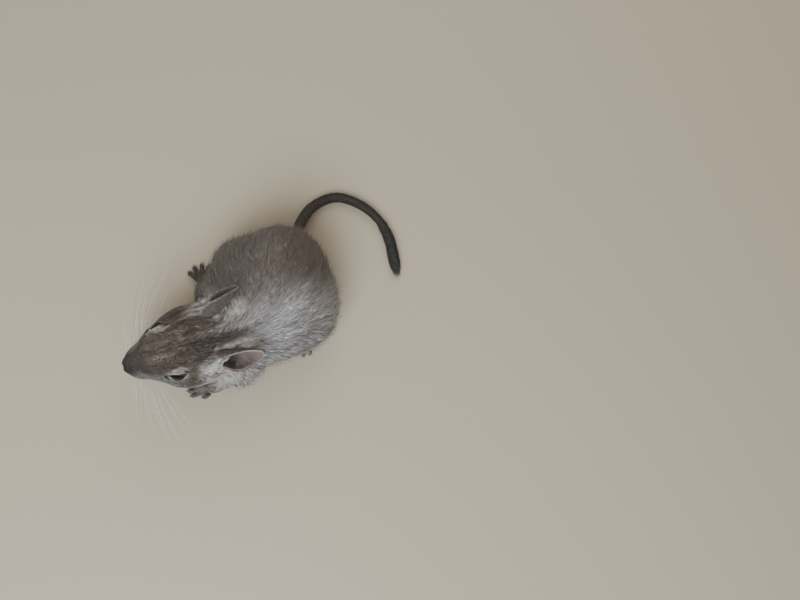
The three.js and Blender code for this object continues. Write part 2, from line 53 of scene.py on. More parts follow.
# Driving sizes, in millimetres and degrees
HEAD_YAW = 16.8
HEAD_PITCH = 17.0
EYE_MIDDLE = np.array([-44.0, 14.0, 26.0])
EYE_RADIUS = 3.7
EYE_SPOT = {"left": (-3.4, 7.1, 1.75), "right": (-0.6, -6.5, 1.8)}
SOLID_LEFT_EYE = (-0.2, 7.4, 1.3)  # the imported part's left eye, in the head's frame
LID_THICKNESS = 0.62
SLIT_HALF_LENGTH = 3.8
SLIT_HALF_HEIGHT = 2.4
SLIT_RISE = 2.35
SLIT_FALL = 2.25
SLIT_LIFT = 0.1
SLIT_BOW = 0.12  # how far the slit's corners are drawn down
SLIT_FLOOR = 1.2  # the slit is cut from here outward, measured from the eye's middle
EAR_LENGTH = 17.6
EAR_WIDTH = 8.6
TAIL_RADIUS = 2.25
TAIL_ROOT = np.array([0.5, 58.0, 13.5])
FACE_START = -8  # lids, lips and nostrils lie ahead of this, in the head's frame
SKIN_CELL = 0.645
FAR = 99.0

# How softly forms flow into one another, in millimetres
JOIN = dict(
    trunk=6, skull=3, legs=3.5, palm=1.5, toes=0.7, feet=1.2,
    lids=1.4, slit=0.5, lips=0.8, rims=0.6, mouth=0.35,
)

SIDES = ("left", "right")
SIGN = {"left": 1.0, "right": -1.0}


def turn_z(degrees):
    c, s = math.cos(math.radians(degrees)), math.sin(math.radians(degrees))
    return np.array([[c, -s, 0], [s, c, 0], [0, 0, 1.0]])


def turn_y(degrees):
    c, s = math.cos(math.radians(degrees)), math.sin(math.radians(degrees))
    return np.array([[c, 0, s], [0, 1.0, 0], [-s, 0, c]])


# The head's own frame: x towards the nose, y to the animal's left, z up, zero between the eyes
HEAD = turn_z(180 + HEAD_YAW) @ turn_y(HEAD_PITCH)


def to_head(p):
    return (p - EYE_MIDDLE) @ HEAD


def on_head(*h):
    return np.asarray(h, float) @ HEAD.T + EYE_MIDDLE


def head_vector(*h):
    return np.asarray(h, float) @ HEAD.T


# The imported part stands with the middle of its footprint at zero, so the model's frame is moved by this much.
eye_low, eye_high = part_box("eye_left")
SHIFT = (np.array(eye_low) + np.array(eye_high)) * 500 - on_head(*SOLID_LEFT_EYE)


def metres(p):
    return (np.asarray(p) + SHIFT) * 0.001


def unit(v):
    return v / np.maximum(np.linalg.norm(v, axis=-1, keepdims=True), 1e-9)


def smooth(low, high, x):
    t = np.clip((x - low) / (high - low), 0, 1)
    return t * t * (3 - 2 * t)


def mix(a, b, t):
    return a + (b - a) * t


# Distance functions. Each takes points in the model's frame and the same points in the head's frame.
def egg(centre, radii, at_head=False):
    centre, radii = np.array(centre, np.float32), np.array(radii, np.float32)

    def distance(p, h):
        a = ((h if at_head else p) - centre) / radii
        k0 = np.sqrt(np.einsum("ij,ij->i", a, a))
        a /= radii
        k1 = np.sqrt(np.einsum("ij,ij->i", a, a))
        return k0 * (k0 - 1) / np.maximum(k1, 1e-6)

    return distance


def limb(a, b, ra, rb, at_head=False):
    a, b = np.array(a, np.float32), np.array(b, np.float32)
    d = b - a
    length2 = float(d @ d)

    def distance(p, h):
        q = (h if at_head else p) - a
        t = np.clip(q @ d / length2, 0, 1)
        q = q - t[:, None] * d
        return np.sqrt(np.einsum("ij,ij->i", q, q)) - ra - t * (rb - ra)

    return distance


def blend(k, *forms):
    def distance(p, h):
        low = forms[0](p, h)
        for form in forms[1:]:
            low = soft_join(low, form(p, h), k)
        return low

    return distance


def together(*forms):
    """Forms side by side, without a soft join."""
    return lambda p, h: np.minimum.reduce([form(p, h) for form in forms])


def soft_join(a, b, k):
    return np.minimum(a, b) - np.maximum(k - np.abs(a - b), 0) ** 2 / (4 * k)


def soft_cut(a, b, k):
    return -soft_join(-a, b, k)


def mirrored(x, y, z):
    return [(x, y, z), (x, -y, z)]


# Trunk: rump, belly, flank, chest, haunches, shoulders, and the neck that runs up to the head
HAUNCH = {"left": ((6.5, 33, 15), (12.2, 16.5, 13.5)), "right": ((-18.2, 45, 15), (12.6, 14, 13.5))}
SHOULDER = {"left": ((-20.5, 10, 15), (9.5, 8.6, 12.5)), "right": ((-28, 35.5, 15), (8.5, 8.2, 12))}
ELBOW = {"left": (-19, 8.5, 9.5), "right": (-26, 37.5, 11.5)}
WRIST = {"left": (-29.8, 1.6, 2.9), "right": (-34, 41.6, 2.9)}
NECK_LINE = ((-20, 23, 22.5), on_head(-14, 0, -1))
trunk = blend(
    JOIN["trunk"],
    egg((-4, 44.5, 20.3), (18, 18, 18.3)),
    egg((-7, 33, 21.3), (20, 19, 19.7)),
    egg((-6, 23, 17.5), (13.5, 12, 14.8)),
    egg((-19, 23, 19.5), (15.5, 16.5, 16.5)),
    *[egg(*HAUNCH[side]) for side in SIDES],
    *[egg(*SHOULDER[side]) for side in SIDES],
    limb(*NECK_LINE, 13.5, 10.8),
)

# Head: skull, brow, muzzle, bridge, nose, eye mounds, whisker pads, cheeks and jaw
skull = blend(
    JOIN["skull"],
    egg((-11, 0, 0.3), (14.5, 11.4, 9.8), True),
    egg((0.5, 0, -0.6), (10.5, 9.6, 8.9), True),
    limb((2, 0, -2.6), (12.2, 0, -4), 8, 4.7, True),
    egg((7.5, 0, -1.2), (8.5, 4.4, 4.3), True),
    *[limb((3.5, 4.6 * s, -2.4), (10, 2.6 * s, -4.3), 4.9, 3.9, True) for s in (1, -1)],
    egg((14.9, 0, -4), (3.6, 3.4, 3), True),
    *[egg(EYE_SPOT[side], (4.8, 3.9, 4.3), True) for side in SIDES],
    *[egg(c, (5.4, 3.2, 3.7), True) for c in mirrored(11, 3, -5.8)],
    *[egg(c, (12, 7.4, 7), True) for c in mirrored(-6.5, 8, -5.8)],
    limb((-5, 0, -8.3), (11.2, 0, -9), 5.3, 2, True),
)
arms = [limb(ELBOW[side], WRIST[side], 4.7, 2.5) for side in SIDES]
arm_distance = together(*arms)
animal = blend(JOIN["legs"], trunk, *arms, skull)

# Feet: where each wrist or heel is, the way the foot points, how far its toes spread, and its sizes
FOOT_SIZES = ("wrist", "heading", "spread", "palm", "radius", "toe", "inner")
FOOT = {
    name: dict(zip(FOOT_SIZES, sizes))
    for name, *sizes in (
        ("forepaw_left", WRIST["left"], 184, 24, 4.2, 2.0, 5.3, -1),
        ("forepaw_right", WRIST["right"], 112, 56, 4.2, 2.0, 5.0, 1),
        ("hindfoot_left", (8.2, 34, 2.5), 258, 34, 15, 2.3, 5.4, -1),
        ("hindfoot_right", (-18, 46, 2.5), 259, 34, 14, 2.3, 5.4, 1),
    )
}
PALM_HEIGHT, KNUCKLE_HEIGHT, TOE_HEIGHT = 1.5, 1.75, 1.05


def facing(degrees, rise=0.0):
    """The way that points so many degrees round from +X."""
    angle = math.radians(degrees)
    return np.array([math.cos(angle), math.sin(angle), rise])


def toes_of(wrist, heading, spread, palm, radius, toe, inner):
    """Each toe's root, knuckle, tip, outward way and thickness: four long ones and a short inner one."""
    forward = facing(heading)
    across = np.array([-forward[1], forward[0], 0])
    end = np.array(wrist) + forward * palm
    end[2] = PALM_HEIGHT
    found = []
    for i in range(5):
        short = i == 4
        share = -0.75 * inner if short else i / 3 - 0.5
        out = facing(heading + share * spread * (1.2 if short else 1))
        root = end + across * share * radius * 2 + forward * (-radius * 1.2 if short else -0.4)
        reach = toe * (0.42 if short else 1.06 - 0.9 * share * share)
        knuckle = root + out * reach * 0.5
        tip = root + out * reach
        knuckle[2], tip[2] = KNUCKLE_HEIGHT, TOE_HEIGHT
        found.append((root, knuckle, tip, out, 0.58 if short else 0.68))
    return forward, end, found


def foot_form(sizes):
    forward, end, toes = toes_of(**sizes)
    r = sizes["radius"]
    heel = np.array(sizes["wrist"]) - forward * 0.8
    ball = egg(end + (0, 0, 0.1), (r * 1.15, r * 1.15, r * 0.75))
    palm = blend(JOIN["palm"], limb(heel, end, r, r * 0.8), ball)
    digits = []
    for root, knuckle, tip, out, thick in toes:
        digits.append(limb(root, knuckle, thick, thick * 0.92))
        digits.append(limb(knuckle, tip, thick * 0.88, thick * 0.74))
        digits.append(egg(tip - out * 0.25 + (0, 0, -0.2), (0.78, 0.78, 0.6)))
    return blend(JOIN["toes"], palm, *digits)


feet = {name: foot_form(sizes) for name, sizes in FOOT.items()}
foot_distance = together(*feet.values())


def coat_depth(p, h):
    """How far the skin lies inside the tips of the coat: thin on muzzle and feet, deep on the back."""
    on_body = mix(0.35, 1.75, smooth(2, 13, p[:, 2]))
    on_skull = mix(1.25, 0.12, smooth(-12, 13, h[:, 0]))
    return mix(on_body, on_skull, smooth(-22, -12, h[:, 0]) * smooth(16, 12, np.abs(h[:, 1])))


# The lids: the opening is an almond that looks outward, up and a little forward.
def eye_axes(side):
    ahead = unit(head_vector(0.32, SIGN[side], 0.5))
    back = head_vector(-1, 0, -0.1)
    back = unit(back - (back @ ahead) * ahead)
    rise = np.cross(back, ahead)
    return back, rise if rise[2] > 0 else -rise, ahead


EYES = {side: (on_head(*EYE_SPOT[side]), eye_axes(side)) for side in SIDES}


def eye_places(p, side):
    """Points in the eye's own axes: along the slit towards the tail, up, and outward."""
    centre, axes = EYES[side]
    q = p - centre
    return [q @ axis for axis in axes]


def opening_of(side):
    """The slit between the lids of one eye, with corners that lie lower than its middle."""

    def distance(p, h):
        a, b, o = eye_places(p, side)
        bow = SLIT_BOW * a * a
        up = (b + bow - SLIT_LIFT) / SLIT_RISE
        down = (b + bow * 0.4 - SLIT_LIFT) / -SLIT_FALL
        k = np.sqrt((a / SLIT_HALF_LENGTH) ** 2 + np.maximum(up, down) ** 2 + 1e-6)
        return np.maximum((k - 1) * SLIT_HALF_HEIGHT, SLIT_FLOOR - o)

    return distance


openings = {side: opening_of(side) for side in SIDES}

# The mouth runs from corner to corner under the nose, with a groove up to the nostrils.
MOUTH = [(6.5, 6, -6.6), (8.5, 6.2, -7.4), (11, 6, -7.9), (13.8, 4.8, -7.9), (16, 2.6, -7.4), (17.4, 0, -7)]
NOSTRIL = [(19.2, 1.0, -2.9), (18.6, 1.9, -2.7), (17.6, 2.7, -3.4)]


def settle(points, form, turns=6, reach=3.0):
    """Moves points along the slope of a distance function onto its zero surface."""
    points = np.array(points, float)
    for _ in range(turns):
        d, g = slope(form, points)
        points -= g * np.clip(d, -reach, reach)[:, None]
    return points


def slope(form, points, e=0.03):
    """The distance and its unit slope at each point."""
    h = to_head(points)
    d = form(points, h)
    g = np.empty_like(points)
    for axis in range(3):
        step = np.zeros(3)
        step[axis] = e
        g[:, axis] = form(points + step, to_head(points + step)) - form(points - step, to_head(points - step))
    g /= 2 * e
    size = np.maximum(np.linalg.norm(g, axis=1), 0.3)
    return d / size, g / size[:, None]


def covered(p, h):
    """The flesh below the coat, without lids, lips and nostrils."""
    return animal(p, h) + coat_depth(p, h)


def path_form(points, radii):
    ends = zip(points[:-1], points[1:], radii[:-1], radii[1:])
    return together(*[limb(a, b, ra, rb) for a, b, ra, rb in ends])


def on_flesh(places):
    """Places in the head's frame, moved onto the flesh."""
    return settle([on_head(*q) for q in places], covered)


def whole_mouth(lift):
    half = [(x, y, z + lift) for x, y, z in MOUTH]
    return on_flesh(half + [(x, -y, z) for x, y, z in half[-2::-1]])


def at_nostrils(ahead, lift, radii):
    """The nostril's own curve on each side, moved so far ahead and up."""
    curves = [[(x + ahead, y * s, z + lift) for x, y, z in NOSTRIL] for s in (1, -1)]
    return [path_form(on_flesh(curve), radii) for curve in curves]


LIP_OFFSET = 0.95
LIP_THICKNESS = [0.15, 0.5, 0.7, 0.75, 0.7, 0.6, 0.7, 0.75, 0.7, 0.5, 0.15]
MOUTH_WIDTH = [0.1, 0.28, 0.34, 0.36, 0.36, 0.4, 0.36, 0.36, 0.34, 0.28, 0.1]
upper_lip = path_form(whole_mouth(LIP_OFFSET), LIP_THICKNESS)
lower_lip = path_form(whole_mouth(-LIP_OFFSET), LIP_THICKNESS)
mouth_line = path_form(whole_mouth(0), MOUTH_WIDTH)
cleft = path_form(on_flesh([(19, 0, -3.8), (18.6, 0, -5.2), (17.6, 0, -7)]), [0.16, 0.28, 0.34])
nostrils = at_nostrils(0, 0, [0.5, 0.42, 0.24])
rims = at_nostrils(-0.1, 0.75, [0.45, 0.55, 0.35])


def with_feet(p, h):
    d = covered(p, h)
    for form in feet.values():
        d = soft_join(d, form(p, h), JOIN["feet"])
    return d


def lid_ball(p, side):
    """Distance to the ball that the lids of one eye make."""
    return np.linalg.norm(p - EYES[side][0], axis=1) - EYE_RADIUS - LID_THICKNESS


def body_form(p, h):
    """The skin that hair lies on: trunk, feet and lids, without the small folds of the face."""
    d = with_feet(p, h)
    for side in SIDES:
        d = np.where(h[:, 0] > FACE_START, soft_join(d, lid_ball(p, side), JOIN["lids"]), d)
    return d


def flesh(p, h):
    """The whole skin: trunk, legs, feet and head with lids, lips and nostrils."""
    d = with_feet(p, h)
    near = h[:, 0] > FACE_START
    if near.any():
        q, g, s = p[near], h[near], d[near]
        for side in SIDES:
            s = soft_join(s, lid_ball(q, side), JOIN["lids"])
            s = soft_cut(s, openings[side](q, g), JOIN["slit"])
        for form, sunk in ((upper_lip, 0.15), (lower_lip, 0.2)):
            s = soft_join(s, form(q, g) + sunk, JOIN["lips"])
        for form in rims:
            s = soft_join(s, form(q, g) + 0.1, JOIN["rims"])
        for form in (mouth_line, cleft, *nostrils):
            s = soft_cut(s, form(q, g), JOIN["mouth"])
        d = d.copy()
        d[near] = s
    return d


def grid_values(form, low, high, cell):
    """A distance function at the points of a grid, kept above zero at its border."""
    n = [int(math.ceil((b - a) / cell)) + 1 for a, b in zip(low, high)]
    x, y, z = [a + cell * np.arange(k) for a, k in zip(low, n)]
    value = np.empty(n, np.float32)
    yy, zz = np.meshgrid(y, z, indexing="ij")
    for i, at in enumerate(x):
        p = np.stack([np.full(yy.size, at), yy.ravel(), zz.ravel()], 1).astype(np.float32)
        value[i] = form(p, to_head(p).astype(np.float32)).reshape(yy.shape)
    for axis in range(3):
        border = np.moveaxis(value, axis, 0)
        border[[0, -1]] = np.maximum(border[[0, -1]], 0.01)
    return value


def surface_of(form, low, high, cell):
    """The zero surface of a distance function: one four-sided face for each grid edge that it crosses."""
    value = grid_values(form, low, high, cell)
    inside = value < 0
    corner = np.full(value.shape, -1, np.int64)
    cells = np.zeros([k - 1 for k in value.shape], np.int8)
    for i, j, k in np.ndindex(2, 2, 2):
        cells += inside[i : i + cells.shape[0], j : j + cells.shape[1], k : k + cells.shape[2]]
    active = np.argwhere((cells > 0) & (cells < 8))
    total, count = np.zeros((len(active), 3)), np.zeros(len(active))
    for axis in range(3):
        for u, v in np.ndindex(2, 2):
            offset = np.zeros(3, int)
            offset[(axis + 1) % 3], offset[(axis + 2) % 3] = u, v
            a = active + offset
            b = a.copy()
            b[:, axis] += 1
            va, vb = value[tuple(a.T)], value[tuple(b.T)]
            crossed = (va < 0) != (vb < 0)
            t = np.where(crossed, va / np.where(crossed, va - vb, 1), 0)
            point = a.astype(float)
            point[:, axis] += t
            total += np.where(crossed[:, None], point, 0)
            count += crossed
    points = total / count[:, None] * cell + np.array(low)
    corner[tuple(active.T)] = np.arange(len(active))
    faces = []
    for axis in range(3):
        here = [slice(1, -1)] * 3
        there = list(here)
        there[axis] = slice(2, None)
        crossed = np.argwhere(inside[tuple(here)] != inside[tuple(there)]) + 1
        ring = []
        for u, v in ((0, 0), (1, 0), (1, 1), (0, 1)):
            c = crossed.copy()
            c[:, (axis + 1) % 3] -= u
            c[:, (axis + 2) % 3] -= v
            ring.append(corner[tuple(c.T)])
        quads = np.stack(ring, 1)
        starts = inside[tuple(crossed.T)]
        faces.append(np.where(starts[:, None], quads, quads[:, ::-1]))
    faces = np.concatenate(faces)
    return settle(points, form, turns=2, reach=0.3 * cell), faces


# Meshes
def placed(name, data):
    """An object in the scene that holds the given data."""
    made = bpy.data.objects.new(name, data)
    bpy.context.scene.collection.objects.link(made)
    return made


def plain_mesh(name, points, faces):
    """Mesh data from points and faces of equal length."""
    mesh = bpy.data.meshes.new(name)
    mesh.vertices.add(len(points))
    mesh.vertices.foreach_set("co", points.astype(np.float32).ravel())
    mesh.loops.add(faces.size)
    mesh.loops.foreach_set("vertex_index", faces.ravel().astype(np.int32))
    mesh.polygons.add(len(faces))
    starts = np.arange(len(faces)) * faces.shape[1]
    mesh.polygons.foreach_set("loop_start", starts.astype(np.int32))
    mesh.update(calc_edges=True)
    return mesh


def mesh_of(name, points, faces, colours, material, uvs=None):
    """A smooth piece from points in millimetres, with a colour for each point."""
    mesh = plain_mesh(name, metres(points), faces)
    mesh.polygons.foreach_set("use_smooth", np.ones(len(faces), bool))
    rgba = np.ones((len(points), 4), np.float32)
    rgba[:, :3] = colours
    mesh.color_attributes.new(name="Markings", type="FLOAT_COLOR", domain="POINT")
    mesh.color_attributes["Markings"].data.foreach_set("color", rgba.ravel())
    if uvs is not None:
        mesh.uv_layers.new(name="OFBake")
        mesh.uv_layers["OFBake"].data.foreach_set("uv", uvs[faces.ravel()].astype(np.float32).ravel())
    mesh.materials.append(material)
    return placed(name, mesh)


def finish_piece(piece, slot, *nodes):
    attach(piece, "root")
    if nodes:
        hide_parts(*nodes)


def ring_faces(rows, ring):
    """Four-sided faces between rings of points that follow one another."""
    index = np.arange(rows * ring).reshape(rows, ring)
    following = np.roll(index, -1, axis=1)
    return np.stack([index[:-1], following[:-1], following[1:], index[1:]], -1).reshape(-1, 4)


def rings(end, rows, ring):
    """Rings of points: each one's place on the way from 0 to the end, its angle, and the faces between."""
    way, angle = np.meshgrid(np.linspace(0, end, rows), np.arange(ring) / ring * 2 * np.pi, indexing="ij")
    return way.ravel(), angle.ravel(), ring_faces(rows, ring)


def mend(piece):
    """Joins points that lie at one place, fills open rings, and turns all faces outward."""
    bm = bmesh.new()
    bm.from_mesh(piece.data)
    bmesh.ops.remove_doubles(bm, verts=bm.verts[:], dist=1e-7)
    bmesh.ops.holes_fill(bm, edges=[e for e in bm.edges if e.is_boundary], sides=0)
    bmesh.ops.recalc_face_normals(bm, faces=bm.faces[:])
    bm.to_mesh(piece.data)
    bm.free()


def srgb(r, g, b):
    c = np.array([r, g, b], float) / 255
    return np.where(c <= 0.04045, c / 12.92, ((c + 0.055) / 1.055) ** 2.4)


# Markings: the coat's colours, with painted light and shade on its sides, and where each lies
BACK = srgb(116, 107, 101)
# Painted shade for the right side of the body, which faces away from the light
PAINTED_SHADE_RIGHT = srgb(108, 101, 97)
RUMP = srgb(97, 86, 78)
# Pale flank colour: partly the coat's own pale sides, partly painted light on the lit left side
FLANK_PALE_AND_LIT = srgb(186, 184, 186)
NECK = srgb(158, 146, 139)
BELLY = srgb(180, 172, 162)
CROWN = srgb(86, 75, 65)
CROWN_DARK = srgb(62, 50, 41)
MUZZLE = srgb(52, 45, 37)
MUZZLE_SIDE = srgb(100, 97, 93)
NOSE = srgb(28, 25, 24)
EYE_DARK = srgb(15, 12, 12)
PALE = srgb(196, 191, 186)
BROW = srgb(174, 165, 157)
LEG = srgb(96, 86, 79)
# Dark foreleg fur, also used as painted shadow round the right foreleg
LEG_DARK_AND_SHADOW = srgb(58, 48, 40)
# The right paw is darker than the left partly as painted shade on that side
PAW = {"left": srgb(98, 87, 81), "right": srgb(68, 58, 51)}
TAIL_DARK = srgb(46, 37, 31)
# The middle of the back, from above
DORSAL = np.array([(-27, 19), (-17, 23), (-8, 33), (-2, 44), (0.5, 57)], float)


def beside_back(p):
    """Distance sideways from the middle line of the back, positive on the animal's left."""
    best = np.full(len(p), 1e9)
    signed = np.zeros(len(p))
    for a, b in zip(DORSAL[:-1], DORSAL[1:]):
        d = b - a
        q = p[:, :2] - a
        t = np.clip(q @ d / (d @ d), 0, 1)
        r = q - t[:, None] * d
        away = np.linalg.norm(r, axis=1)
        side = np.where(d[0] * q[:, 1] - d[1] * q[:, 0] < 0, 1.0, -1.0)
        closer = away < best
        best = np.where(closer, away, best)
        signed = np.where(closer, side * away, signed)
    return signed


def spot(h, centre, radii):
    """1 at a place of the head, down to 0 at the given radii from it."""
    r = np.linalg.norm((h - np.array(centre)) / np.array(radii), axis=1)
    return smooth(1, 0.25, r)


def lay(base, colour, share):
    return base + (colour - base) * share[:, None]


def head_share(p, h):
    return smooth(-27, -17, h[:, 0]) * smooth(2.5, 0.5, skull(p, h))


def markings(p):
    """The coat's colour at each point, with painted light on the left side and painted shade on the right."""
    h = to_head(p)
    aside = beside_back(p)
    z = p[:, 2]
    # Painted shade over the right side of the body
    fur = lay(BACK, PAINTED_SHADE_RIGHT, smooth(-5, -14, aside))
    fur = lay(fur, RUMP, smooth(34, 50, p[:, 1]) * smooth(6, 16, p[:, 0] + 14) * smooth(21, 13, aside))
    # The left flank is pale, and lighter still toward the front as painted light where it faces the light
    fur = lay(fur, FLANK_PALE_AND_LIT, 0.3 * smooth(14, 20, aside) * smooth(4, 12, z))
    reach = smooth(44, 27, p[:, 1] + 1.2 * ripple(p, 11, 0.3))
    light = reach * smooth(-5, 1, aside) * mix(0.5, 0.95, smooth(3, 10, aside))
    fur = lay(fur, FLANK_PALE_AND_LIT, light * smooth(4, 12, z))
    # Darker at the outer edge of the left flank: partly darker hair, partly painted shade where the body turns
    # away
    fur = lay(fur, BACK, 0.25 * smooth(16, 22, aside) * smooth(10, 16, z))
    fur = lay(fur, BELLY, smooth(11, 5, z))
    nape = 0.8 * smooth(2, -14, h[:, 2]) * smooth(9, 4, np.abs(h[:, 1] - 4))
    fur = lay(fur, NECK, nape * smooth(-40, -30, h[:, 0]) * (z > 28))
    for side in SIDES:
        arm = smooth(1.2, -0.6, limb(ELBOW[side], WRIST[side], 6.5, 3.2)(p, h)) * smooth(13, 9, z)
        fur = lay(fur, LEG, arm * (1.0 if side == "right" else smooth(9, 4, z)))
    # The right foreleg's dark fur, with painted shadow round it
    dark_shaded_foreleg = np.linalg.norm((p - (-37, 41.5, 14)) / (8, 10, 17), axis=1)
    fur = lay(fur, LEG_DARK_AND_SHADOW, 0.9 * smooth(1, 0.3, dark_shaded_foreleg))
    fur = lay(fur, head_colours(h), head_share(p, h))
    upper = smooth(10, 16, z)
    # The pale marks are laid weaker on the right, partly as painted shade on that side
    for s, share in ((1, 0.95), (-1, 0.55)):
        fur = lay(fur, PALE, share * upper * spot(h, (-16.8, 13.6 * s, -1.5), (10, 8, 9)))
        fur = lay(fur, PALE, share * upper * spot(h, (-17.5, 10.5 * s, 3.5), (6.5, 4.5, 6)))
        fur = lay(fur, CROWN, 0.4 * upper * spot(h, (-8, 12 * s, 1), (4, 5, 5)))
    for colour, share, centre, radii in NAPE_SPOTS:
        fur = lay(fur, colour, share * spot(h, centre, radii))
    for side in SIDES:
        fur = lay_eye(fur, p, side)
    for name, form in feet.items():
        fur = lay(fur, PAW[name.split("_")[1]], smooth(1.6, 0.2, form(p, h)))
    return fur


def head_colours(h):
    head = lay(CROWN, MUZZLE, smooth(1, 8, h[:, 0]))
    side_low = smooth(6.6, 4.2, h[:, 2] + 0.25 * h[:, 0]) * smooth(2.5, 5.5, np.abs(h[:, 1]))
    head = lay(head, MUZZLE_SIDE, 0.85 * side_low * smooth(-8, 0, h[:, 0]))
    head = lay(head, NOSE, smooth(12.5, 17.5, h[:, 0] + 0.5 * h[:, 2]))
    return lay(head, PALE, 0.75 * smooth(-4, -9, h[:, 2]))


def lay_eye(fur, p, side):
    """The marks round one eye: pale below, a brow above, and the dark edge of the slit."""
    a, b, o = eye_places(p, side)
    ring = np.sqrt((a / 4.0) ** 2 + ((b - SLIT_LIFT) / 2.5) ** 2)
    out = smooth(-1.5, 0.5, o)
    fur = lay(fur, MUZZLE_SIDE * 1.3, 0.8 * out * smooth(2.4, 1.2, ring) * smooth(1, -1, b))
    brow = np.sqrt(((a - 2.6) / 4.6) ** 2 + ((b - 2.9 - 0.12 * a) / 1.5) ** 2) + 0.2 * ripple(p, 2.3, 0.6)
    # The right brow is laid weaker, partly as painted shade on that side
    fur = lay(fur, BROW, (0.85 if side == "left" else 0.7) * out * smooth(1.2, 0.5, brow))
    fur = lay(fur, PALE, 0.5 * out * smooth(1.2, 1.1, ring) * smooth(0.3, -0.7, b))
    fur = lay(fur, BROW, 0.25 * out * smooth(1.16, 1.08, ring) * smooth(-0.3, 0.6, b))
    return lay(fur, EYE_DARK, 0.95 * out * smooth(1.06, 0.96, ring))


# Pale spots behind the ears, and dark ones between: colour, strength, centre and radii in the head's frame
NAPE_SPOTS = (
    # The left spot is brightened past its own pale colour as painted light against the ear's shadow
    (PALE * 1.6, 0.95, (-28.5, 6, 2), (8, 3.4, 7)),
    (PALE * 1.15, 0.85, (-28, -7.4, 2.8), (9, 5.5, 9)),
    (CROWN_DARK, 0.85, (-19.5, 1.5, 9), (10, 3.8, 8)),
    (CROWN_DARK, 0.85, (-26.5, 1.8, 4.5), (12, 3.4, 8)),
)


# Materials
def set_values(node, values):
    for name, value in values.items():
        node.inputs[name].default_value = value


def node_material(name, values):
    material = bpy.data.materials.new(name)
    material.use_nodes = True
    shader = material.node_tree.nodes["Principled BSDF"]
    set_values(shader, values)
    return material, shader


BUMP_DEPTH = 0.0002


def marked_material(name, values, fine, shade, detail=3, counted=(0.3, 0.7), relief=0, cells=0):
    """A material that takes the piece's own markings, made darker and lighter by a fine noise.

    fine is the noise's scale, detail its detail, counted the part of its range that counts, shade the darkest
    and the lightest that it makes, relief how strongly it stands out, and cells the scale of a grain with it.
    """
    material, shader = node_material(name, values)
    nodes, links = material.node_tree.nodes, material.node_tree.links
    colour = nodes.new("ShaderNodeVertexColor")
    colour.layer_name = "Markings"
    place = nodes.new("ShaderNodeTexCoord").outputs["Object"]
    noise = nodes.new("ShaderNodeTexNoise")
    set_values(noise, {"Scale": fine, "Detail": detail})
    links.new(place, noise.inputs["Vector"])
    spread = nodes.new("ShaderNodeMapRange")
    limits = (*counted, *shade)
    set_values(spread, dict(zip(("From Min", "From Max", "To Min", "To Max"), limits)))
    links.new(noise.outputs["Fac"], spread.inputs["Value"])
    scale = nodes.new("ShaderNodeVectorMath")
    scale.operation = "SCALE"
    links.new(colour.outputs["Color"], scale.inputs[0])
    links.new(spread.outputs["Result"], scale.inputs["Scale"])
    links.new(scale.outputs["Vector"], shader.inputs["Base Color"])
    if relief:
        height = noise.outputs["Fac"]
        if cells:
            grain = nodes.new("ShaderNodeTexVoronoi")
            set_values(grain, {"Scale": cells})
            links.new(place, grain.inputs["Vector"])
            add = nodes.new("ShaderNodeMath")
            add.operation = "ADD"
            links.new(grain.outputs["Distance"], add.inputs[0])
            links.new(height, add.inputs[1])
            height = add.outputs["Value"]
        bump = nodes.new("ShaderNodeBump")
        set_values(bump, {"Strength": relief, "Distance": BUMP_DEPTH})
        links.new(height, bump.inputs["Height"])
        links.new(bump.outputs["Normal"], shader.inputs["Normal"])
    return material


# Each material's noise, and the shader's own values
MATERIALS = {
    "skin": dict(fine=1500, shade=(0.8, 1.15), relief=0.5, cells=2200, values={
        "Roughness": 0.55, "Specular IOR Level": 0.35,
    }),
    "coat_fur": dict(fine=900, shade=(0.85, 1.15), values={
        "Roughness": 0.62, "Specular IOR Level": 0.28, "Sheen Weight": 0.12, "Sheen Roughness": 0.5,
    }),
    "ear_skin": dict(fine=1200, shade=(0.85, 1.15), relief=0.35, values={
        "Roughness": 0.5, "Specular IOR Level": 0.35, "Subsurface Weight": 0.15,
        "Subsurface Radius": (0.0012, 0.0006, 0.0004), "Subsurface Scale": 0.6,
    }),
    "eye_wet": dict(fine=1400, detail=2, counted=(0, 1), shade=(0.6, 1.4), values={
        "Roughness": 0.25, "Specular IOR Level": 0.08, "Coat Weight": 0.04, "Coat Roughness": 0.04,
    }),
    "claw_horn": dict(fine=1800, shade=(0.8, 1.2), relief=0.2, values={"Roughness": 0.35}),
    "whisker": dict(fine=300, shade=(0.85, 1.15), values={"Roughness": 0.3}),
}
materials = {name: marked_material(name, **settings) for name, settings in MATERIALS.items()}


# The camera stands where the photograph's did, 270 mm over the floor, and looks down with a slight tilt.
CAMERA_HEIGHT = 270.0
FOCAL_PIXELS = 650.0
PHOTO_WIDTH, PHOTO_HEIGHT = 800, 600
STRAIGHT_DOWN_PIXEL = (290.0, 390.0)
SENSOR_WIDTH = 36.0


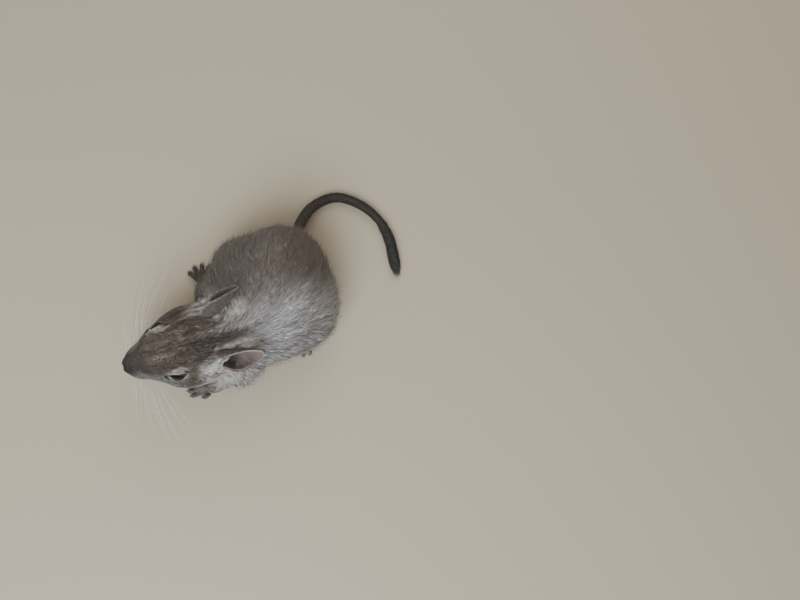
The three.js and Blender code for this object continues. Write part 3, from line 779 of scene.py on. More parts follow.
def photo_camera():
    x = (STRAIGHT_DOWN_PIXEL[0] - PHOTO_WIDTH / 2) / FOCAL_PIXELS
    y = -(STRAIGHT_DOWN_PIXEL[1] - PHOTO_HEIGHT / 2) / FOCAL_PIXELS
    down = unit(np.array([x, y, -1.0]))
    target = np.array([0, 0, -1.0])
    v = np.cross(down, target)
    k = np.array([[0, -v[2], v[1]], [v[2], 0, -v[0]], [-v[1], v[0], 0]])
    turn = np.eye(3) + k + k @ k / (1 + down @ target)
    data = bpy.data.cameras.new("photo_camera")
    data.sensor_width = SENSOR_WIDTH
    data.lens = FOCAL_PIXELS / PHOTO_WIDTH * SENSOR_WIDTH
    data.clip_start = 0.005
    matrix = Matrix(turn.tolist()).to_4x4()
    matrix.translation = metres((0, 0, CAMERA_HEIGHT)).tolist()
    camera = placed("photo_camera", data)
    camera.matrix_world = matrix
    bpy.context.scene.camera = camera


# The floor, the sky and two lights, in metres; each light has a name, place, width, power and colour
FLOOR_REACH = 3.0
FLOOR_COLOUR = (0.285, 0.245, 0.178, 1)
SKY_COLOUR = (1.0, 0.965, 0.915, 1)
SKY_STRENGTH = 0.55
LIGHTS = (
    ("key", (-0.12, -0.42, 0.55), 0.45, 9.5, (0.9, 0.95, 1.0)),
    ("fill", (0.1, 0.5, 0.5), 0.5, 2.5, (1.0, 0.95, 0.88)),
)
LIT_PLACE = (0, 0, 0.02)


def stage_and_lights():
    mesh = bpy.data.meshes.new("floor")
    corners = [(x * FLOOR_REACH, y * FLOOR_REACH, 0) for x, y in ((-1, -1), (1, -1), (1, 1), (-1, 1))]
    mesh.from_pydata(corners, [], [(0, 1, 2, 3)])
    mesh.materials.append(node_material("floor_plain", {"Base Color": FLOOR_COLOUR, "Roughness": 0.7})[0])
    placed("floor", mesh)
    world = bpy.data.worlds.new("soft_sky")
    world.use_nodes = True
    set_values(world.node_tree.nodes["Background"], {"Color": SKY_COLOUR, "Strength": SKY_STRENGTH})
    bpy.context.scene.world = world
    for name, place, width, power, colour in LIGHTS:
        data = bpy.data.lights.new(name, "AREA")
        data.size = width
        data.energy = power
        data.color = colour
        light = placed(name, data)
        light.location = place
        aim = Matrix.Translation(place).inverted() @ Matrix.Translation(LIT_PLACE)
        light.rotation_euler = aim.translation.to_track_quat("-Z", "Y").to_euler()


# The coat: where its lines part, how much of it makes one piece, and how its tufts are built, in millimetres
NAPE = np.array([-14.5, 19.0, 24.0])
BACKWARD = head_vector(-1, 0, 0) * np.array([1, 1, 0])
SPINE_HEIGHT = 18.0
TUFT_LIMIT = 19600  # tufts in one piece
TUFT_THICKNESS = 0.42  # as a share of its width
TUFT_MIDDLE = 0.48  # the middle ring's place, as a share of its length
STRAY_SHARE = 0.1
STRAY_LIFT = (0.6, 3.0)
FINE_STREAKS = (0.42, 2.8, 1)  # cell, half the length and seed
BROAD_STREAKS = (0.85, 4.5, 2)
LOCK_SIZE = 8  # tufts to a lock


def lid_distance(p):
    """Distance from the nearer eye's opening, in its own plane."""
    best = np.full(len(p), FAR)
    for side in SIDES:
        a, b, o = eye_places(p, side)
        ring = (np.sqrt((a / SLIT_HALF_LENGTH) ** 2 + (b / SLIT_HALF_HEIGHT) ** 2) - 1) * 2.8
        best = np.minimum(best, np.where(o > -1.5, ring, FAR))
    return best


def leg_share(p, h):
    """1 on the forelegs below the elbow."""
    return smooth(1.5, -0.5, arm_distance(p, h)) * smooth(14, 9, p[:, 2])


def coat_sizes(p):
    """Length, width, height and density of the tufts that grow at each point."""
    h = to_head(p)
    low = smooth(12, 4, p[:, 2])
    near_eye = smooth(4.5, 0.3, lid_distance(p))
    foot = smooth(1.2, 0.1, foot_distance(p, h))
    on_head_length = np.interp(h[:, 0], [-24, -10, 0, 8, 14, 19], [6.0, 4.8, 3.5, 2.1, 1.2, 0.6])
    on_head_width = np.interp(h[:, 0], [-20, 0, 10, 18], [0.18, 0.15, 0.13, 0.1])
    on_head_density = np.interp(h[:, 0], [-20, 0, 10, 18], [12, 15, 19, 22])
    length, width, density = 6.4, 0.21, 13.0
    for share, long, wide, dense in (
        (low, 4.2, 0.21, 7.0),
        (leg_share(p, h), 3.0, 0.2, 12.0),
        (head_share(p, h), on_head_length, on_head_width, on_head_density),
        (near_eye, 1.1, 0.12, 26.0),
        (foot, 0.9, 0.13, 12.0),
    ):
        length, width, density = mix(length, long, share), mix(width, wide, share), mix(density, dense, share)
    for s in (1, -1):
        behind_ear = spot(h, (-28.5, 6.4 * s, 2.5), (8, 4.8, 8))
        length = mix(length, 3.6, 0.9 * behind_ear)
        density = mix(density, 20.0, behind_ear)
    height = coat_depth(p, h) * mix(1.0, 0.55, near_eye)
    return length, width, mix(height, 0.16, foot), density


NOSE_PAD = (18.1, 2.6, -5.6)  # in the head's frame: it lies ahead of, less far aside than, and above these
BARE_RADIUS = {"ear": 1.9, "tail": 1.6}


def bare(p):
    """Where no hair grows: eyeballs, lid edges, nose pad, lips, soles, and the roots of ears and tail."""
    h = to_head(p)
    ahead, aside, above = NOSE_PAD
    nose_pad = (h[:, 0] > ahead) & (np.abs(h[:, 1]) < aside) & (h[:, 2] > above)
    none = (lid_distance(p) < 0.25) | nose_pad | (mouth_line(p, h) < 0.35) | (p[:, 2] < 0.9)
    for side in SIDES:
        root = on_head(*EAR[side]["root"]) + head_vector(*EAR[side]["along"]) * 2.6
        none |= np.linalg.norm(p - root, axis=1) < BARE_RADIUS["ear"]
    return none | (np.linalg.norm(p - TAIL_ROOT, axis=1) < BARE_RADIUS["tail"])


HEAD_SOURCE = (22.0, 0, -3.0)  # the head's coat runs away from here, just ahead of the nose
TO_TAIL = (1, 9, -7)


def flow(p, normal):
    """The lie of the coat: back from the nose, out from the nape over the body, and down the legs."""
    h = to_head(p)
    away = p - NAPE
    flat = np.linalg.norm(away[:, :2], axis=1)
    ahead = np.maximum(-away @ unit(BACKWARD), 0)
    v = away + BACKWARD * (1.05 * ahead + 9 * smooth(22, 6, flat))[:, None] + np.array([0, 0, -6.0])
    near_tail = smooth(16, 4, np.linalg.norm(p - TAIL_ROOT, axis=1))
    v = unit(v) + 1.2 * near_tail[:, None] * unit(TAIL_ROOT + TO_TAIL - p)
    from_nose = unit(h - HEAD_SOURCE)
    for side in SIDES:
        q = h - np.array(EYE_SPOT[side])
        away = np.linalg.norm(q, axis=1)
        from_nose = from_nose + 0.7 * smooth(8.5, 4, away)[:, None] * unit(q)
    head = head_share(p, h)
    v = mix(unit(v), unit(from_nose) @ HEAD.T, head[:, None])
    nearest = np.where(arms[0](p, h) < arms[1](p, h), 0, 1)
    ways = np.array([unit(np.subtract(WRIST[side], ELBOW[side])) for side in SIDES])
    v = mix(v, ways[nearest], leg_share(p, h)[:, None] * 0.9)
    for name, form in feet.items():
        v = mix(v, facing(FOOT[name]["heading"], -0.05), smooth(1.2, 0.2, form(p, h))[:, None])
    v = v - np.einsum("ij,ij->i", v, normal)[:, None] * normal
    return unit(v)


def ripple(p, size, phase):
    """A smooth waver, mostly between -1 and 1, made of a few slanting waves."""
    total = np.zeros(len(p))
    for i, (a, b, c) in enumerate(((1, 0.3, 0.2), (-0.4, 1, 0.3), (0.2, -0.5, 1), (0.8, 0.7, -0.6))):
        total += np.sin((p @ np.array([a, b, c])) * 2 * math.pi / size + phase * (i + 1) + 1.7 * i)
    return total / 2.4


def rotated(v, axis, angle):
    c, s = np.cos(angle)[:, None], np.sin(angle)[:, None]
    return v * c + np.cross(axis, v) * s


def scatter(points, faces, density):
    """Random roots on a triangle mesh, so many to a square millimetre."""
    a, b, c = (points[faces[:, i]] for i in range(3))
    area = np.linalg.norm(np.cross(b - a, c - a), axis=1) / 2
    middle = (a + b + c) / 3
    share = area * density(middle)
    wanted = int(share.sum())
    ladder = np.cumsum(share) / share.sum()
    pick = np.searchsorted(ladder, (np.arange(wanted) + rng.random(wanted)) / wanted)
    u, v = rng.random(wanted), rng.random(wanted)
    over = u + v > 1
    u, v = np.where(over, 1 - u, u), np.where(over, 1 - v, v)
    return a[pick] + u[:, None] * (b - a)[pick] + v[:, None] * (c - a)[pick]


def patches(along, around):
    """A place of its own on the unwrap for every tuft: columns along the body, rows round it."""
    n = len(along)
    columns = max(1, int(math.sqrt(n)))
    column = np.empty(n, int)
    column[np.argsort(along)] = np.arange(n) * columns // n
    order = np.lexsort((around, column))
    starts = np.searchsorted(column[order], np.arange(columns))
    counts = np.diff(np.append(starts, n))
    row = np.empty(n)
    row[order] = np.arange(n) - starts[column[order]]
    return np.stack([(column + 0.5) / columns, (row + 0.5) / counts[column]], 1)


PATCH = 0.003
PATCH_PLACES = ((-0.5, -0.5), (0.5, -0.5), (0, -0.5), (-0.5, 0), (0.5, 0), (0, 0), (0, 0.5))
TUFT_SIDES = ((0, 1), (1, 2), (2, 0))
FLOOR_GAP = 0.04


def tufts(name, lines, ups, widths, colours, places, material, slot):
    """One joined mesh of thin closed tufts, each from a flat three-sided root over a middle ring to a point.

    lines holds each tuft's root, middle and tip, colours the colour at each of these, and places its patch.
    """
    n = len(lines)
    sides = unit(np.cross(ups, lines[:, 1] - lines[:, 0]))
    half = sides * (widths / 2)[:, None]
    rise = unit(ups) * (widths * TUFT_THICKNESS)[:, None]
    points = np.empty((n, 7, 3))
    for ring, grow in ((0, 0.75), (1, 1.0)):
        points[:, ring * 3] = lines[:, ring] - half * grow
        points[:, ring * 3 + 1] = lines[:, ring] + half * grow
        points[:, ring * 3 + 2] = lines[:, ring] + rise * grow
    points[:, 6] = lines[:, 2]
    points[:, :, 2] = np.maximum(points[:, :, 2], FLOOR_GAP)
    shape = [(0, 2, 1)]
    for i, j in TUFT_SIDES:
        shape += [(i, j, j + 3), (i, j + 3, i + 3), (i + 3, j + 3, 6)]
    faces = (np.array(shape)[None] + 7 * np.arange(n)[:, None, None]).reshape(-1, 3)
    tone = np.repeat(colours, [3, 3, 1], axis=1).reshape(-1, 3)
    uvs = (places[:, None] + np.array(PATCH_PLACES)[None] * PATCH).reshape(-1, 2)
    finish_piece(mesh_of(name, points.reshape(-1, 3), faces, tone, material, uvs), slot)


def cloud(p, cell, seed):
    """Smooth random noise with no lie of its own, between about -1 and 1."""
    base = np.floor(p / cell).astype(np.int64)
    f = p / cell - base
    f = f * f * (3 - 2 * f)
    total = np.zeros(len(p))
    for corner in range(8):
        bit = np.array([corner & 1, corner >> 1 & 1, corner >> 2 & 1])
        k = base + bit
        n = (k[:, 0] * 73856093 ^ k[:, 1] * 19349663 ^ k[:, 2] * 83492791 ^ seed * 7919) & 0x7FFFFFFF
        n = (n ^ n >> 13) * 1274126177 & 0x7FFFFFFF
        total += (n >> 8 & 0xFFFF) / 32768 * np.prod(np.where(bit, f, 1 - f), axis=1)
    return total - 1


def streaks(p, way, cell, reach, seed):
    """Noise drawn out along the lie of the hair into light and dark streaks, evened to a spread of 1."""
    drawn = sum(cloud(p + way * t, cell, seed) for t in np.linspace(-reach, reach, 9))
    return drawn / drawn.std()


def contrast(p, h):
    """How strongly the streaks show: most on the crown, least on muzzle and upper back."""
    body = mix(0.14, 0.3, smooth(2, 14, beside_back(p)))
    head = np.interp(h[:, 0], [-26, -16, 0, 6, 12], [0.3, 0.46, 0.44, 0.2, 0.1])
    calm = smooth(6.5, 2.5, lid_distance(p))
    return mix(mix(body, head, head_share(p, h)), 0.12, calm)


def tuft_tones(base, streak, clump_tone, strength):
    """Colour at root, middle and tip: dark at the root, and lighter or darker from one tuft to the next.

    Light streaks are greyer, and dark ones browner.
    """
    n = len(base)
    bright = strength * (streak + 0.15 * clump_tone + 0.2 * rng.normal(0, 1, n)) - 0.5 * strength**2
    tip = rng.uniform(0.95, 1.2, n)
    warm = 1 + 0.015 * rng.normal(0, 1, (n, 1)) * np.array([1, 0, -1.3])
    colour = base * np.exp(bright[:, None] * (0.95, 1.0, 1.12)) * warm
    return np.clip(np.stack([colour * 0.5, colour * 0.95, colour * tip[:, None]], 1), 0.002, 0.9)


def grow_coat(skin_points, skin_faces):
    roots = scatter(skin_points, skin_faces, lambda p: coat_sizes(p)[3] * ~bare(p))
    roots = roots[~bare(roots)]
    _, normal = slope(body_form, roots)
    length, width, height, _ = coat_sizes(roots)
    h = to_head(roots)
    head = head_share(roots, h)
    n = len(roots)
    length = length * rng.uniform(0.7, 1.2, n)
    height = height * rng.uniform(0.55, 1.15, n)
    stray = (rng.random(n) < STRAY_SHARE) & (head < 0.5) & (leg_share(roots, h) < 0.3) & (roots[:, 2] > 7)
    lifted = np.where(stray, rng.uniform(*STRAY_LIFT, n), 0)
    width = width * np.where(stray, 0.8, 1)
    length = length * np.where(stray, 1.25, 1)
    waver = 0.14 * ripple(roots, 9, 1.1) + 0.1 * ripple(roots, 3.5, 2.3) + rng.normal(0, 0.09, n)
    waver += 0.3 * head * smooth(6, -2, h[:, 0]) * ripple(roots, 6.5, 0.7)
    way = rotated(flow(roots, normal), normal, waver)
    middle = roots + way * (length * TUFT_MIDDLE)[:, None]
    d, g = slope(body_form, middle)
    middle += g * (height * 0.62 + 0.3 * lifted - d)[:, None]
    way2 = rotated(flow(middle, g), g, waver)
    tip = middle + way2 * (length * (1 - TUFT_MIDDLE))[:, None]
    d, g2 = slope(body_form, tip)
    tip += g2 * (height + lifted - d)[:, None]
    clump_tone = draw_together(roots, middle, tip, normal, mix(1.0, 0.55, head))
    start = roots - normal * np.minimum(0.25, height * 0.3)[:, None]
    lines = np.stack([start, middle, tip], 1)
    streak = 0.6 * streaks(tip, way2, *FINE_STREAKS) + 0.8 * streaks(tip, way2, *BROAD_STREAKS) - 1.0 * stray
    tones = tuft_tones(markings((middle + tip) / 2), streak, clump_tone, contrast(roots, h))
    make_pieces(roots, lines, normal, width * rng.uniform(0.75, 1.25, n), tones)


def draw_together(roots, middle, tip, normal, share_of_pull):
    """Pulls tufts towards leaders, so that they lie in locks, and gives each lock a tone."""
    n = len(roots)
    leaders = rng.choice(n, n // LOCK_SIZE, replace=False)
    tree = KDTree(len(leaders))
    for i, leader in enumerate(leaders):
        tree.insert(roots[leader], i)
    tree.balance()
    lead = np.array([tree.find(r)[1] for r in roots])
    pull = (rng.uniform(0.35, 0.8, n) * share_of_pull)[:, None]
    for points, share in ((middle, 0.45), (tip, 0.9)):
        goal = points[leaders[lead]] - points
        goal -= np.einsum("ij,ij->i", goal, normal)[:, None] * normal
        points += goal * pull * share
    return rng.normal(0, 1, len(leaders))[lead]


def region_of(p):
    """The named piece of coat that each root belongs to."""
    h = to_head(p)
    aside = beside_back(p)
    high = p[:, 2] > 8
    head = head_share(p, h) > 0.5
    region = np.full(len(p), "coat_flank_left", object)
    for name, chosen in (
        ("flank_right", aside < 0),
        ("back", np.abs(aside) < 9),
        ("rump", (p[:, 1] > 44) & high),
        ("belly", p[:, 2] < 8),
        ("neck", (limb(*NECK_LINE, 15, 12.5)(p, h) < 0) & high),
        ("forelegs", leg_share(p, h) > 0.5),
        ("crown", head),
        ("cheeks", head & (h[:, 0] > -8)),
        ("muzzle", head & (h[:, 0] > 3)),
        ("feet", foot_distance(p, h) < 0.7),
    ):
        region[chosen] = "coat_" + name
    return region


def unwrap(p, region):
    """The skin laid flat: along and around the head, or along and around the spine."""
    if region in ("coat_crown", "coat_cheeks", "coat_muzzle"):
        h = to_head(p)
        return h[:, 0], np.arctan2(h[:, 1], h[:, 2] + 4)
    spine = unit(DORSAL[-1] - DORSAL[0])
    return p[:, :2] @ spine, np.arctan2(beside_back(p), p[:, 2] - SPINE_HEIGHT)


def make_pieces(roots, lines, ups, widths, tones):
    region = region_of(roots)
    for name in sorted(set(region)):
        chosen = np.flatnonzero(region == name)
        parts = math.ceil(len(chosen) / TUFT_LIMIT)
        order = chosen[np.argsort(roots[chosen, 1], kind="stable")]
        for k, part in enumerate(np.array_split(order, parts)):
            places = patches(*unwrap(roots[part], name))
            title = name if parts == 1 else f"{name}_{k + 1}"
            fur = materials["coat_fur"]
            tufts(title, lines[part], ups[part], widths[part], tones[part], places, fur, "coat")


# Ears: an oval leaf rolled into a deep cup that opens sideways and up, rolled most of all at the root
EAR = {
    "left": dict(root=(-20.6, 6.3, 1.1), along=(-0.93, 0.25, 0.31), open=(-0.05, 0.74, 0.64)),
    "right": dict(root=(-19.6, -5.3, 0.8), along=(-0.86, -0.42, 0.33), open=(0.05, -0.86, 0.48)),
}
EAR_RINGS = (64, 72)
EAR_INSIDE = srgb(97, 84, 79)
# Painted shade standing in for the dark opening of the ear
EAR_CANAL_SHADE = srgb(20, 14, 12)
# The ear's rim: partly its own pale margin, partly a painted highlight where the edge catches the light
EAR_RIM_PALE_AND_LIT = srgb(176, 158, 148)
EAR_BACK = srgb(70, 60, 53)


def ear_axes(side):
    along = unit(np.array(EAR[side]["along"]))
    opening = np.array(EAR[side]["open"])
    opening = unit(opening - (opening @ along) * along)
    return along, opening, np.cross(along, opening) * SIGN[side]


def ear_surface(side, u, w, lift):
    """A point of the ear: u from root to tip, w from edge to edge, lift out from the leaf's middle."""
    along, opening, across = ear_axes(side)
    leaf = 0.72 + 0.28 * np.sin(np.pi * np.clip(u * 0.9 - 0.02, 0, 1))
    width = EAR_WIDTH * leaf * np.sqrt(np.maximum(1 - u**5, 0.0004))
    curl = np.radians(mix(112.0, 66.0, smooth(0.15, 1, u)))
    bend = width / 2 / np.sin(np.minimum(curl, math.pi / 2))
    turn = w * curl
    h = (
        np.array(EAR[side]["root"])
        + along * (EAR_LENGTH * u)[:, None]
        + across * ((bend + lift) * np.sin(turn))[:, None]
        + opening * (bend - (bend + lift) * np.cos(turn))[:, None]
    )
    return h @ HEAD.T + EYE_MIDDLE


def make_ear(side):
    u, a, faces = rings(1, *EAR_RINGS)
    c, s = np.cos(a), np.sin(a)
    w = np.sign(c) * (1 - (1 - np.abs(c)) ** 1.5)
    thick = mix(0.85, 0.42, smooth(0, 0.45, u))
    edge = smooth(0.8, 0.97, np.abs(w))
    face = np.sign(s) * np.abs(s) ** 0.5
    lift = face * thick / 2 * (1 - 0.25 * edge)
    inner = smooth(0.1, -0.3, s)
    fold = np.exp(-((w - 0.25) ** 2) / 0.02) * smooth(0.08, 0.2, u) * smooth(0.62, 0.4, u)
    lift = lift - inner * 0.5 * fold
    wavy = u + 0.012 * np.sin(w * 5 + 1) * smooth(0.3, 1, u)
    points = ear_surface(side, np.clip(wavy, 0, 1), w, lift)
    bulge = 0.18 * ripple(points, 11, 0.9) * smooth(0.2, 0.7, u)
    points += head_vector(*ear_axes(side)[1]) * bulge[:, None]
    if side == "right":
        faces = faces[:, ::-1]
    colour = lay(EAR_BACK, EAR_INSIDE, inner)
    # Painted shade inside the cup, over its lateral half and fading toward the tip
    colour = lay(colour, EAR_INSIDE * 0.5, 0.8 * inner * smooth(0.95, 0.6, u) * smooth(-0.3, 0.3, w))
    # The ear's opening, painted nearly black as painted shade, since the cup has no hole
    canal_shade = 0.92 * inner * smooth(0.52, 0.2, u) * smooth(0.95, 0.4, np.abs(w - 0.2))
    colour = lay(colour, EAR_CANAL_SHADE, canal_shade)
    # A pale rim, partly the ear's own margin and partly a painted highlight where the upper edge and the tip
    # catch the light
    low = smooth(0.3, 0.05, u)
    colour = lay(colour, EAR_RIM_PALE_AND_LIT, 0.95 * smooth(0.93 - 0.1 * low, 0.99, -w) * (s > -0.6))
    colour = lay(colour, EAR_RIM_PALE_AND_LIT, 0.4 * np.maximum(smooth(0.95, 0.99, w), smooth(0.965, 0.995, u)))
    ear = mesh_of(f"ear_skin_{side}", points, faces, colour, materials["ear_skin"])
    mend(ear)
    finish_piece(ear, "ear", f"ear_{side}")


# Hair of each ear, by where it grows: how many, length, width, how far it stands off, and how pale it is
EAR_HAIR = {
    "back": (3000, 1.9, 0.11, 0.22, 0.06),
    "edge": (700, 1.2, 0.07, 0.2, 0.3),
    "inside": (400, 1.1, 0.06, 0.2, 0.3),
    "root": (500, 3.2, 0.09, 0.5, 0.8),
}


def ear_hair_roots(kind, count):
    u, w = rng.random(count) ** 0.85, rng.uniform(-1, 1, count)
    if kind == "back":
        u = u * 0.94
    elif kind == "edge":
        w = np.sign(w) * rng.uniform(0.93, 1.0, count)
    elif kind == "inside":
        w = np.sign(w) * rng.uniform(0.45, 0.95, count)
        u = 0.25 + 0.7 * u
    else:
        u = 0.02 + 0.2 * u
        w = rng.uniform(0.6, 1.0, count)
    return u, w


def ear_hair():
    """Short hair on each ear's back, a pale fringe on its edge, and longer pale hair before the opening."""
    groups = []
    for side in SIDES:
        for kind, (count, length, wide, height, pale) in EAR_HAIR.items():
            u, w = ear_hair_roots(kind, count)
            way = -1.0 if kind == "inside" else 1.0
            lift = np.full(count, 0.2 * way)
            step = length * rng.uniform(0.7, 1.2, count) / EAR_LENGTH
            drift = rng.normal(0, 0.05, count) + (0.06 * np.sign(w) if kind in ("edge", "root") else 0)
            points = []
            for share, rise in ((0, 0.0), (0.5, 0.6), (1.0, 1.0)):
                along = np.clip(u + step * share, 0, 1.0)
                points.append(ear_surface(side, along, w + drift * share, lift + way * height * rise))
            over = np.maximum(u + step - 1.0, 0) * EAR_LENGTH
            points[2] = points[2] + head_vector(*ear_axes(side)[0]) * over[:, None]
            up = ear_surface(side, u, w, lift + way) - ear_surface(side, u, w, lift)
            tone = mix(EAR_BACK, PALE, pale) * np.exp(rng.normal(0, 0.15, (count, 1)))
            colours = np.clip(np.stack([tone * 0.7, tone, tone * 1.15], 1), 0, 0.9)
            widths = wide * rng.uniform(0.8, 1.2, count)
            groups.append((np.stack(points, 1), up, widths, colours, u, w + (SIGN[side] > 0) * 3))
    lines, ups, widths, colours, u, w = [np.concatenate(part) for part in zip(*groups)]
    tufts("ear_hair", lines, ups, widths, colours, patches(u, w), materials["coat_fur"], "ear")


# Eyes
PUPIL = srgb(6, 5, 6)
EYE_RINGS = (40, 56)
CORNEA_RISE = 0.055


def make_eye(side):
    centre, (back, rise, ahead) = EYES[side]
    t, a, faces = rings(math.pi, *EYE_RINGS)
    radius = EYE_RADIUS * (1 + CORNEA_RISE * smooth(0.95, 0.2, t))
    round_slit = back * np.cos(a)[:, None] + rise * np.sin(a)[:, None]
    way = ahead * np.cos(t)[:, None] + round_slit * np.sin(t)[:, None]
    points = centre + way * radius[:, None]
    faces = np.roll(faces[:, ::-1], 1, axis=1)
    colour = lay(EYE_DARK, PUPIL, smooth(0.5, 0.4, t))
    eye = mesh_of(f"eyeball_{side}", points, faces, colour, materials["eye_wet"])
    mend(eye)
    finish_piece(eye, "eye", f"eye_{side}")


# Curves and tubes
class Line:
    """A smooth curve through points, evened out by its own length."""

    def __init__(self, points, samples=60):
        points = np.array(points, float)
        ends = [2 * points[0] - points[1], *points, 2 * points[-1] - points[-2]]
        path = []
        for p0, p1, p2, p3 in zip(ends[:-3], ends[1:-2], ends[2:-1], ends[3:]):
            g0, g1, g2 = (max(np.linalg.norm(b - a) ** 0.5, 1e-4) for a, b in ((p0, p1), (p1, p2), (p2, p3)))
            m1 = ((p1 - p0) / g0 - (p2 - p0) / (g0 + g1) + (p2 - p1) / g1) * g1
            m2 = ((p2 - p1) / g1 - (p3 - p1) / (g1 + g2) + (p3 - p2) / g2) * g1
            t = np.linspace(0, 1, samples, endpoint=False)[:, None]
            path.append(
                (2 * t**3 - 3 * t**2 + 1) * p1 + (t**3 - 2 * t**2 + t) * m1
                + (3 * t**2 - 2 * t**3) * p2 + (t**3 - t**2) * m2
            )
        self.path = np.concatenate([*path, points[-1:]])
        steps = np.linalg.norm(np.diff(self.path, axis=0), axis=1)
        self.length = steps.sum()
        self.share = np.concatenate([[0], np.cumsum(steps)]) / self.length

    def at(self, u):
        u = np.atleast_1d(u)
        inside = np.stack([np.interp(u, self.share, self.path[:, i]) for i in range(3)], -1)
        end = unit(self.path[-1] - self.path[-4])
        return inside + end * (np.maximum(u - 1, 0) * self.length)[:, None]

    def along(self, u):
        return unit(self.at(np.minimum(u, 1) + 0.004) - self.at(np.minimum(u, 1) - 0.004))


def tube(line, radius, steps, sides):
    """Points and faces of a closed tube along a curve; radius is a function of the share of the way."""
    u = np.linspace(0, 1, steps + 1)
    middle, along = line.at(u), line.along(u)
    side = unit(np.cross((0, 0, 1.0), along) + 1e-6)
    up = np.cross(along, side)
    a = np.arange(sides) / sides * 2 * np.pi
    spokes = side[:, None] * np.cos(a)[None, :, None] + up[:, None] * np.sin(a)[None, :, None]
    ring = middle[:, None] + radius(u)[:, None, None] * spokes
    points = np.concatenate([ring.reshape(-1, 3), middle[:1], middle[-1:]])
    walls = ring_faces(steps + 1, sides)
    here = np.arange(sides)
    following = np.roll(here, -1)
    last = steps * sides
    start_point, end_point = np.full(sides, last + sides), np.full(sides, last + sides + 1)
    start_cap = np.stack([following, here, start_point], -1)
    end_cap = np.stack([here + last, following + last, end_point], -1)
    faces = np.concatenate([walls[:, [0, 1, 2]], walls[:, [0, 2, 3]], start_cap, end_cap])
    return points, faces, np.concatenate([np.repeat(u, sides), [0, 1]])


def merged(parts):
    """Several (points, faces, value) made into one."""
    offset, points, faces, values = 0, [], [], []
    for p, f, v in parts:
        points.append(p)
        faces.append(f + offset)
        values.append(v)
        offset += len(p)
    return np.concatenate(points), np.concatenate(faces), np.concatenate(values)


# Claws
CLAW_ROOT = srgb(70, 60, 54)
CLAW_TIP = srgb(176, 164, 150)


CLAW_RADIUS = 0.42
CLAW_REACH = 1.7


def make_claws():
    parts = []
    for sizes in FOOT.values():
        for _, _, tip, out, _ in toes_of(**sizes)[2]:
            bend = tip + out * 0.75
            point = tip + out * CLAW_REACH
            bend[2], point[2] = 1.25, 0.3
            line = Line([tip - out * 0.5, bend, point], 12)
            parts.append(tube(line, lambda u: CLAW_RADIUS * (1 - u) ** 0.7 + 0.03, 10, 10))
    points, faces, share = merged(parts)
    colour = lay(CLAW_ROOT, CLAW_TIP, smooth(0.35, 0.9, share))
    finish_piece(mesh_of("claws", points, faces, colour, materials["claw_horn"]), "paw")


# Whiskers: four rows of five a side, longest at the back, that bend a little down and back. The left ones
# stand out sideways, and the right ones are laid further back. Each column has its place and length.
WHISKER = srgb(196, 190, 182)
WHISKER_RADII = (0.058, 0.018)
WHISKER_ROWS = (-3.4, -4.6, -5.8, -7.0)
WHISKER_COLUMNS = ((14.6, 3.4, 11), (13.2, 4.2, 17), (11.8, 4.9, 22), (10.4, 5.4, 25), (9.0, 5.7, 28))
# How far they lean forward, at the front column and at the back one
WHISKER_LEAN = {"left": (0.42, -0.1), "right": (-0.05, -0.5)}
# Bristles over each eye and on the cheek: root and length
BRISTLE = srgb(66, 57, 50)
BRISTLE_RADII = (0.045, 0.015)
BRISTLES = ((0.8, 5.2, 5.6, 9), (1.8, 4.8, 5.0, 6), (-4.5, 9.5, -4, 8))


def rooted(x, y, z):
    """A place in the head's frame, moved onto the skin and given in the same frame."""
    return to_head(settle([on_head(x, y, z)], body_form)[0])


def hair_tube(places, samples, radii, steps):
    """A thin tube through places in the head's frame, narrowing from its root to its tip."""
    line = Line([on_head(*place) for place in places], samples)
    return tube(line, lambda u: mix(*radii, u), steps, 5)


def make_whiskers():
    whiskers, bristles = [], []
    for side in SIDES:
        s = SIGN[side]
        for z in WHISKER_ROWS:
            for i, (x, y, length) in enumerate(WHISKER_COLUMNS):
                jitter = rng.normal(0, 1, 5)
                root = rooted(x + 0.2 * jitter[0], s * y, z)
                lean = mix(*WHISKER_LEAN[side], i / 4) + 0.05 * jitter[1]
                out = unit(np.array([lean, s, 0.1 + 0.13 * (z + 5) + 0.04 * jitter[2]]))
                bend = np.array([-0.1 + 0.03 * jitter[3], -0.05 * s, -0.16])
                size = length * (1 + 0.07 * jitter[4])
                places = [root + size * (out * t + bend * t * t) for t in (-0.03, 0.15, 0.4, 0.7, 1.0)]
                whiskers.append(hair_tube(places, 16, WHISKER_RADII, 16))
        for x, y, z, length in BRISTLES:
            root = rooted(x, s * y, z)
            ways = [(t, np.array([-0.75 - 0.3 * t, s * 0.35, 0.55 - 0.5 * t])) for t in (-0.04, 0.3, 0.65, 1)]
            bristles.append(hair_tube([root + length * t * way for t, way in ways], 12, BRISTLE_RADII, 10))
    for name, tubes, tone in (("whiskers", whiskers, WHISKER), ("bristles", bristles, BRISTLE)):
        points, faces, share = merged(tubes)
        colour = tone * mix(0.75, 1.0, smooth(0, 0.3, share))[:, None]
        finish_piece(mesh_of(name, points, faces, colour, materials["whisker"]), "coat")


# Tail: fur along all of it, and a brush of longer hair at its end
TAIL_LINE = Line([
    TAIL_ROOT, (2.6, 65, 9.8), (8.2, 75.6, 3.4), (17.8, 80.6, 2.1),
    (27.6, 78.3, 2.1), (36, 72, 2.1), (41, 63, 2.1), (43, 54, 2.1),
])
TAIL_TIP_HAIR = srgb(30, 24, 21)
TAIL_FUR, TAIL_BRUSH = 9500, 2600
BRUSH_START = 0.74
TAIL_RINGS = (300, 20)
RING_WAVES = 760  # how closely the rings of its scales follow one another


